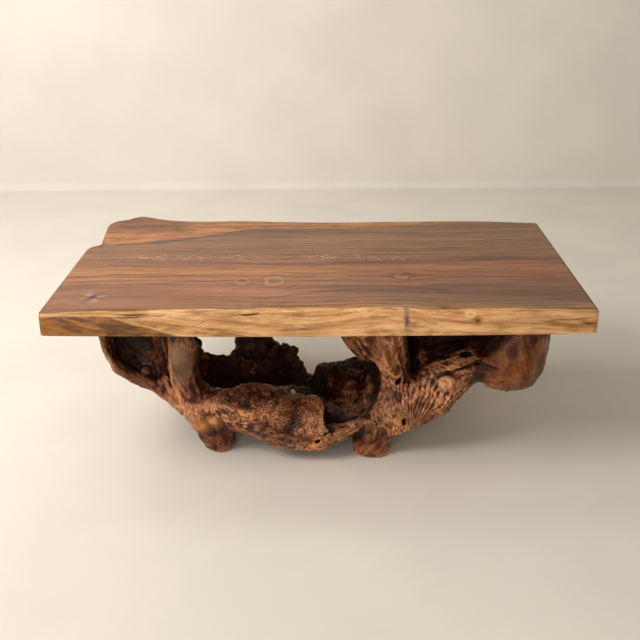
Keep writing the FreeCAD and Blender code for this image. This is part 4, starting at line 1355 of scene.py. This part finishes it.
class TABLE_OT_root(Operator):
    """Carve the root's five sections out of one field of wood"""

    bl_idname = "root_table.root"
    bl_label = "Root"

    FAR = 9.0
    LAP = 1.2
    FORM_BLUR = 4.0 * MM
    CAVITY_BLUR = 8.0 * MM
    RELIEF_REACH = 16 * MM
    RELIEF_LIMIT = 13 * MM
    FIBRE_SQUEEZE = 0.86
    HOLLOW_CENTRE, HOLLOW_RADII = (-0.03, -0.05, 0.17), (0.22, 0.13, 0.12)
    WARP_REACH, WARP_CELL = 0.007, 0.030
    LUMP_SHARE, LUMP_CELL = 0.9, 0.060
    RIB_SHARE, RIB_CELL = 0.8, 0.020
    ROUGH_HEIGHT, ROUGH_CELL = 1.1 * MM, 0.012
    COVERED = 0.01
    FLUTE_RATE = 42
    MASK_FADE = (1.25, 0.55)
    # A hole is three bars side by side: share of the way that it is drawn out, share of its half width.
    HOLE_BARS = ((-0.5, 0.75), (0.0, 1.0), (0.5, 0.6))

    def execute(self, context):
        sizes = context.scene.root_table_root
        field = RootField(sizes.voxel)
        field.distance = field.blur(field.distance, self.FORM_BLUR)
        self.add_lumps(field)
        picked, points = field.near_surface(self.RELIEF_REACH)
        fibres = self.fibres(field, points)
        relief = self.relief(field, points, fibres, sizes)
        holes = [self.hole(field, *hole) for hole in HOLES]
        field.distance[picked] -= relief
        for start, end, half, side in holes:
            for shift, share in self.HOLE_BARS:
                radii = (share * half, 0.6 * share * half)
                field.bar(start + side * shift, end + side * shift, radii, 3 * MM, DIG)
        cavity = field.distance - field.blur(field.distance, self.CAVITY_BLUR)
        # How open each place lies; the material turns this openness into painted shade in the hollows.
        shelter, stride = field.shelter()
        material = root_material(sizes)
        lap = self.LAP * sizes.voxel
        for name, low, high in self.regions(lap):
            points, triangles, quads = field.piece(low, high)
            points = points.astype(np.float64)
            section = make_object(f"{name}_carved", points, [array for array in (triangles, quads) if len(array)])
            add_values(section, "cavity", field.sample(cavity, points) / MM)
            add_values(section, "shelter", field.sample(shelter, points, stride))
            for mask, blobs in MASKS.items():
                add_values(section, mask, self.mask(field, points, blobs))
            add_values(section, "flute", self.flutes(field, points))
            add_values(section, "ring", self.knob_rings(field, points))
            add_values(section, "grain", self.fibres(field, points))
            section.data.materials.append(material)
            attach(section, "root")
            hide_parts(name)
        return {"FINISHED"}

    def regions(self, lap):
        """The sections, parted on the frame's joints, each run into its neighbour by lap: name, lowest and highest
        corner."""
        far = self.FAR
        return [
            ("left_ear_root", (-far, -far), (EAR_JOINT + lap, far)),
            ("right_burl_root", (BURL_JOINT - lap, -far), (far, far)),
            ("rear_wall_root", (EAR_JOINT - lap, REAR_JOINT - lap), (BURL_JOINT + lap, far)),
            ("left_bowl_root", (EAR_JOINT - lap, -far), (CENTRE_JOINT + lap, REAR_JOINT + lap)),
            ("right_bowl_root", (CENTRE_JOINT - lap, -far), (BURL_JOINT + lap, REAR_JOINT + lap)),
        ]

    def add_lumps(self, field):
        """Broken lumps on the rims, the bars laid on, and the wood that's worked away. A place that the camera
        doesn't see on the wood is left out."""
        seen = field.seen_at
        lumps = [(seen(*pixel), radius * MM) for pixel, radius in LUMPS]
        bars = [(seen(*start), seen(*end), shift, radius * MM) for start, end, shift, radius in ADDED_BARS]
        bites = [(seen(*pixel), shift, np.array(halves) * MM) for pixel, shift, halves in BITES]
        for place, radius in lumps:
            if place is not None:
                field.ball(place, (radius, 0.9 * radius, radius), 8 * MM, ADD)
        for start, end, shift, radius in bars:
            if start is not None and end is not None:
                field.bar(start + shift, end + shift, (radius, radius), 16 * MM, ADD)
        for place, shift, halves in bites:
            if place is not None:
                field.ball(place + shift, halves, 5 * MM, DIG)
        pixel, reach, radius = STRUT_CUT
        start, end = (on_plane(pixel, 1, y) for y in reach)
        field.bar(start, end, (radius, radius), 8 * MM, DIG)

    def fibres(self, field, points):
        """Places squeezed along the fibres: p - FIBRE_SQUEEZE ((p - m) . d) d, where d is the way of the nearest
        fibre lines and m their middle."""
        way, middle = np.zeros((2, len(points), 3))
        total = np.full((len(points), 1), 1e-9)
        way[:, 2] = 0.02
        for start, end in field.fibre_lines():
            weight = np.exp(-((segment_distance(points, start, end) / FIBRE_REACH) ** 2))[:, None]
            way += weight * (end - start) / np.linalg.norm(end - start)
            middle += weight * (start + end) / 2
            total += weight
        way /= np.linalg.norm(way, axis=1, keepdims=True) + 1e-6
        return points - self.FIBRE_SQUEEZE * np.sum((points - middle / total) * way, axis=1, keepdims=True) * way

    def relief(self, field, points, fibres, sizes):
        """Height of the carving over the frame's form, in metres: broad lumps, ribs along the fibres, the burl's
        beads, the shoulder's fan, then each ridge, groove and knob."""
        burled, fan, smooth = (self.mask(field, points, MASKS[name]) for name in ("burled", "fan", "smooth"))
        push = np.stack([lattice_noise(points, self.WARP_CELL, seed) for seed in (71, 72, 73)], axis=1)
        warp = self.WARP_REACH * push
        strewn = points + warp
        height = self.LUMP_SHARE * sizes.lump_depth * layered_noise(points, self.LUMP_CELL, 2, 51)
        ribs = 1 - 2 * np.abs(layered_noise(fibres + warp, self.RIB_CELL, 2, 61))
        height += sizes.flute_depth * self.RIB_SHARE * ribs * (1 - 0.7 * burled) * (1 - smooth)
        height += self.ROUGH_HEIGHT * layered_noise(strewn, self.ROUGH_CELL, 2, 65) * (1 - 0.8 * smooth)
        rim = smooth_step(0.0, 0.05, points[:, 1]) * smooth_step(0.085, 0.12, points[:, 2])
        # Beads: their ground, depth, the distance in cells at which they cross the form, cell and seed
        for ground, depth, middle, cell, seed in (
            (burled, 1.3 * sizes.lump_depth, 0.55, 0.013, 81),
            (burled, 2.0 * sizes.lump_depth, 0.55, 0.028, 83),
            (rim, 14 * MM, 0.45, (0.034, 0.034, 0.026), 91),
            (self.inside(points), 9 * MM, 0.5, (0.030, 0.030, 0.045), 95),
        ):
            covered = ground > self.COVERED
            height[covered] += depth * ground[covered] * (middle - cell_noise(strewn[covered], cell, seed))
        covered = fan > self.COVERED
        phase = self.flutes(field, points[covered])
        height[covered] += fan[covered] * sizes.flute_depth * (1.8 * np.abs(np.sin(phase)) - 1.1)
        for pixels, half, rise in RIDGES + [(pixels, half, -depth) for pixels, half, depth in GROOVES]:
            self.stroke(field, points, pixels, half * MM, rise * MM, height)
        for pixel, half, crown, rings in KNOBS:
            self.knob(field, points, pixel, half * MM, crown * MM, rings * MM, height)
        return np.clip(height, -self.RELIEF_LIMIT, self.RELIEF_LIMIT).astype(np.float32)

    def inside(self, points):
        """1 in the bowl's hollow, seen as an ellipsoid, and 0 outside it."""
        away = (points - self.HOLLOW_CENTRE) / self.HOLLOW_RADII
        return smooth_step(1.25, 0.85, np.linalg.norm(away, axis=1))

    def flutes(self, field, points):
        """The fan's flutes as a phase that grows by pi from one to the next: FLUTE_RATE times the angle about the
        fan's centre, taken in the upright plane through the middle of its ground, and noise."""
        ground = field.seen_at(*MASKS["fan"][0][0])
        moved = points - on_plane(FAN_CENTRE, 1, ground[1])
        angle = np.arctan2(moved[:, 0], moved[:, 2]) + 0.05 * lattice_noise(points, 0.050, 88)
        return self.FLUTE_RATE * angle + 1.5 * lattice_noise(points, 0.018, 89)

    def mask(self, field, points, blobs):
        """How far each place lies in any of the blobs: 1 in the middle of one of strength 1."""
        total = np.zeros(len(points))
        for pixel, halves, strength in blobs:
            total = np.maximum(total, strength * smooth_step(*self.MASK_FADE, field.blob(points, pixel, halves)))
        return total

    def near(self, points, places, reach):
        """Which points lie in the box about places, grown by reach."""
        low, high = np.min(places, axis=0) - reach, np.max(places, axis=0) + reach
        return np.nonzero(np.all((points > low) & (points < high), axis=1))[0]

    def stroke(self, field, points, pixels, half, rise, height):
        """Adds rise along a line of pixels, fading across it as exp(-(d / half)^2)."""
        places = [place for place in (field.seen_at(*pixel) for pixel in pixels) if place is not None]
        picked = self.near(points, places, 2.6 * half)
        away = np.full(len(picked), 9.0)
        for start, end in zip(places, places[1:]):
            away = np.minimum(away, segment_distance(points[picked], start, end))
        height[picked] += rise * np.exp(-((away / half) ** 2))

    def knob(self, field, points, pixel, half, crown, rings, height):
        """Adds a round crown with three fading rings about it."""
        place = field.seen_at(*pixel)
        picked = self.near(points, [place], 2.7 * half)
        away = np.linalg.norm(points[picked] - place, axis=1) / half
        wave = np.cos(2 * math.pi * (away + 0.15 * lattice_noise(points[picked], 0.012, 77)))
        height[picked] += crown * smooth_step(1.1, 0.2, away) + rings * wave * smooth_step(2.6, 0.8, away)

    def knob_rings(self, field, points):
        """How many half widths each place lies from the nearest knob, up to 4."""
        nearest = np.full(len(points), 4.0)
        for pixel, half, *_ in KNOBS:
            nearest = np.minimum(nearest, np.linalg.norm(points - field.seen_at(*pixel), axis=1) / (half * MM))
        return nearest

    def hole(self, field, pixel, half, drawn, turn, depth):
        """A hole's start, end and half width, and the way that it is drawn out across the view."""
        _, direction = photo_ray(*pixel)
        right, up, _ = camera_axes()
        lean = math.radians(turn)
        half, drawn, depth = half * MM, drawn * MM, depth * MM
        side = (right * math.sin(lean) + up * math.cos(lean)) * drawn
        place = field.seen_at(*pixel)
        return place - direction * half, place + direction * depth, half, side


def segment_distance(points, start, end):
    """Distance from each place to a straight line between two points."""
    along = end - start
    t = np.clip((points - start) @ along / along.dot(along), 0, 1)
    return np.linalg.norm(points - start - t[:, None] * along, axis=1)


# Tints of the root's masks: name, colour where the streaks are high and where they are low.
ROOT_TINTS = (
    ("pink", shade(192, 130, 94), shade(118, 64, 38)),
    ("gold", shade(174, 120, 58), shade(106, 60, 26)),
    ("red", shade(88, 28, 18), shade(108, 48, 24)),
)


def varnished_wood(finish, body, blotch, spots, streak):
    """The root's wood before its rubbed ridges, painted highlights, darkened creases and painted shade: its body's
    colour, the tints of the masks, streaks and spots.
    """
    tone = finish.mix(blotch.rise(0.40, 0.64), body, shade(134, 74, 38))
    for name, high, low in ROOT_TINTS:
        mask = (finish.attribute(name) * (spots * 1.4 + 0.3)).limited()
        tone = finish.mix(mask, tone, finish.mix(streak.rise(0.38, 0.62), low, high))
    return tint(
        finish,
        tone,
        (streak, (0.42, 0.33, 0.27), (1.46, 1.42, 1.38), NARROW),
        (spots, (0.62, 0.54, 0.48), (1.24, 1.24, 1.24), NARROW),
    )


PALE_DARK, PALE_LIGHT = shade(118, 86, 64), shade(142, 112, 86)
# Near-black of the hollows: dark stain and painted shade.
SHADE_AND_STAIN_DARK, SHADE_AND_STAIN_LIGHT = shade(22, 12, 9), shade(60, 32, 21)
KNOT_EYE = shade(206, 158, 130)


def root_material(sizes):
    """Varnished root: rubbed ridges with painted highlights, brown body, near-black hollows of dark stain and painted
    shade, with tints that follow the masks.
    """
    finish = Finish("root_wood")
    place = finish.place()
    grain = finish.attribute("grain", "Vector")
    cavity, shelter, lit, pale, burled, fan, smooth = (
        finish.attribute(name) for name in ("cavity", "shelter", "lit", "pale", "burled", "fan", "smooth")
    )
    blotch = finish.noise(place, 26.0, detail=5.0, roughness=0.62)
    spots = finish.noise(place, 75.0, detail=4.0, roughness=0.65)
    streak = finish.noise(grain, 150.0, detail=5.0, roughness=0.65)
    fine = finish.noise(grain, 620.0, detail=2.0)
    crack = (finish.noise(grain, 46.0) - 0.5).size().rise(0.016, 0.0)
    crack = crack * finish.noise(place, 20.0).rise(0.42, 0.56)
    wrinkle = (finish.noise(place, 85.0, detail=3.0, distortion=0.6) - 0.5).size().rise(0.03, 0.0) * (1 - smooth)
    knurl = finish.creases(finish.warped(place, 60.0, 0.020), 120.0).rise(0.0, 0.30)
    calm = smooth * 0.75
    streak, spots = streak * (1 - calm) + calm * 0.5, spots * (1 - calm) + calm * 0.5
    flute = finish.attribute("flute")
    flute = flute.math("SINE", flute + (spots - 0.5) * 1.6).size()
    ring = finish.attribute("ring")
    swirl = ring.math("SINE", ring * 9.0 + spots * 4.0) * 0.5 + 0.5
    swirl = (1 - swirl) * ring.rise(1.5, 0.8)
    body, ridge, hollow = (tuple(c) for c in (sizes.body_colour, sizes.ridge_colour, sizes.recess_colour))
    tone = varnished_wood(finish, body, blotch, spots, streak)
    # Rubbed high places: wear, with painted highlights on them and on the flutes' crests.
    worn = cavity.rise(-0.3, -1.6) * streak.rise(0.36, 0.58)
    worn = worn.most(burled * knurl.rise(0.6, 1.0) * spots.rise(0.5, 0.62))
    tone = finish.mix(worn.most(fan * flute.rise(0.75, 1.0) * 0.7) * 0.74, tone, ridge)
    pale_tone = finish.mix(blotch.rise(0.35, 0.65), PALE_DARK, PALE_LIGHT)
    tone = finish.mix((pale * 1.2).limited() * 0.92, tone, pale_tone)
    # Dirt and painted shade: darker in the creases, cracks, wrinkles, knot rings, the burl's creases and the flutes'
    # troughs.
    dirt_and_shade = (cavity + (streak - 0.5) * 2.6 - burled * 0.8).rise(0.2, 2.0)
    for other in (
        crack * 0.7,
        wrinkle * 0.6,
        swirl * 0.55,
        burled * knurl.rise(0.40, 0.0) * blotch.rise(0.30, 0.60) * 0.5,
        fan * flute.rise(0.5, 0.0) * 0.85 * ring.rise(0.8, 1.2),
    ):
        dirt_and_shade = dirt_and_shade.most(other)
    tone = finish.mix(dirt_and_shade * 0.88, tone, hollow)
    # Painted shade, with dark stain: the sheltered hollows turn near-black, less where the painted light in the
    # hollows lies.
    closed = (shelter + lit * 0.36 + (blotch - 0.5) * 0.22).rise(0.50, 0.24)
    deep = finish.mix(streak.rise(0.3, 0.7), SHADE_AND_STAIN_DARK, SHADE_AND_STAIN_LIGHT)
    tone = finish.mix(closed * 0.90, tone, deep)
    eye = ring.rise(1.1, 0.6) * spots.rise(0.36, 0.56)
    tone = finish.mix(eye * 0.55 * (1 - closed), tone, KNOT_EYE)
    tone = tint(finish, tone, (finish.noise(place, 12.0), (0.62, 0.57, 0.52), (1.36, 1.32, 1.28), 0.14))
    # Painted light and painted shade: the colour brightened where the light picks places out and darkened where shade
    # falls.
    for name, factors in (("bright", (1.6, 1.55, 1.5)), ("dim", (0.56, 0.42, 0.30))):
        tone = finish.mix(finish.attribute(name), tone, finish.times(tone, factors))
    normal = finish.bump(streak * 0.7 + fine * 0.3, 1.4 * MM, strength=0.7)
    normal = finish.bump(spots - wrinkle * 0.4, 2.6 * MM, strength=0.6, normal=normal)
    normal = finish.bump(burled * knurl + fan * flute - swirl * 0.4, 3.4 * MM, strength=0.8, normal=normal)
    rough = (spots.rise(0.2, 0.8) * 0.22 + 0.18).most(closed * 0.7)
    return finish.finish(
        Base_Color=tone,
        Roughness=rough,
        Normal=normal,
        Coat_Weight=(1 - closed) * 0.10,
        Coat_Roughness=0.12,
        Specular_IOR_Level=0.22,
    )


# Hidden dowels and felt pads keep the frame's shapes


class TABLE_OT_small_parts(Operator):
    """Give the dowels and the felt pads their finishes"""

    bl_idname = "root_table.small_parts"
    bl_label = "Dowels and pads"

    def execute(self, context):
        for nodes, material in ((DOWEL_NODES, self.dowel_material()), (("felt_pads",), self.felt_material())):
            for node in nodes:
                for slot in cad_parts[node].material_slots:
                    slot.material = material
        return {"FINISHED"}

    def dowel_material(self):
        finish = Finish("dowel_wood")
        grain = finish.noise(finish.place(), (90.0, 90.0, 700.0), detail=2.0)
        tone = finish.mix(grain.rise(0.3, 0.7), shade(176, 137, 92), shade(206, 172, 124))
        return finish.finish(Base_Color=tone, Roughness=0.6)

    def felt_material(self):
        finish = Finish("felt")
        fluff = finish.noise(finish.place(), 900.0, detail=2.0)
        tone = finish.mix(fluff.rise(0.3, 0.7), shade(54, 38, 30), shade(82, 60, 48))
        return finish.finish(Base_Color=tone, Roughness=0.95, Normal=finish.bump(fluff, 0.4 * MM))


# Panel and run


class TABLE_PT_panel(Panel):
    """Lists the sizes, the colours and the buttons that make each group of pieces"""

    bl_label = "Root Table"
    bl_idname = "TABLE_PT_panel"
    bl_space_type = "VIEW_3D"
    bl_region_type = "UI"
    bl_category = "Root Table"

    def draw(self, context):
        scene = context.scene
        for sizes, operators in (
            (scene.root_table_stage, (TABLE_OT_stage,)),
            (scene.root_table_slab, (TABLE_OT_slab,)),
            (scene.root_table_root, (TABLE_OT_root, TABLE_OT_small_parts)),
        ):
            box = self.layout.box()
            for name in sizes.__annotations__:
                box.prop(sizes, name)
            for operator in operators:
                box.operator(operator.bl_idname)


CLASSES = (
    SlabSizes,
    RootSizes,
    StageSizes,
    TABLE_OT_stage,
    TABLE_OT_slab,
    TABLE_OT_root,
    TABLE_OT_small_parts,
    TABLE_PT_panel,
)


def register():
    for made in CLASSES:
        bpy.utils.register_class(made)
    bpy.types.Scene.root_table_slab = PointerProperty(type=SlabSizes)
    bpy.types.Scene.root_table_root = PointerProperty(type=RootSizes)
    bpy.types.Scene.root_table_stage = PointerProperty(type=StageSizes)


def unregister():
    del bpy.types.Scene.root_table_stage
    del bpy.types.Scene.root_table_root
    del bpy.types.Scene.root_table_slab
    for made in reversed(CLASSES):
        bpy.utils.unregister_class(made)


def main():
    register()
    bpy.ops.root_table.stage()
    bpy.ops.root_table.slab()
    bpy.ops.root_table.root()
    bpy.ops.root_table.small_parts()


if __name__ == "__main__":
    main()
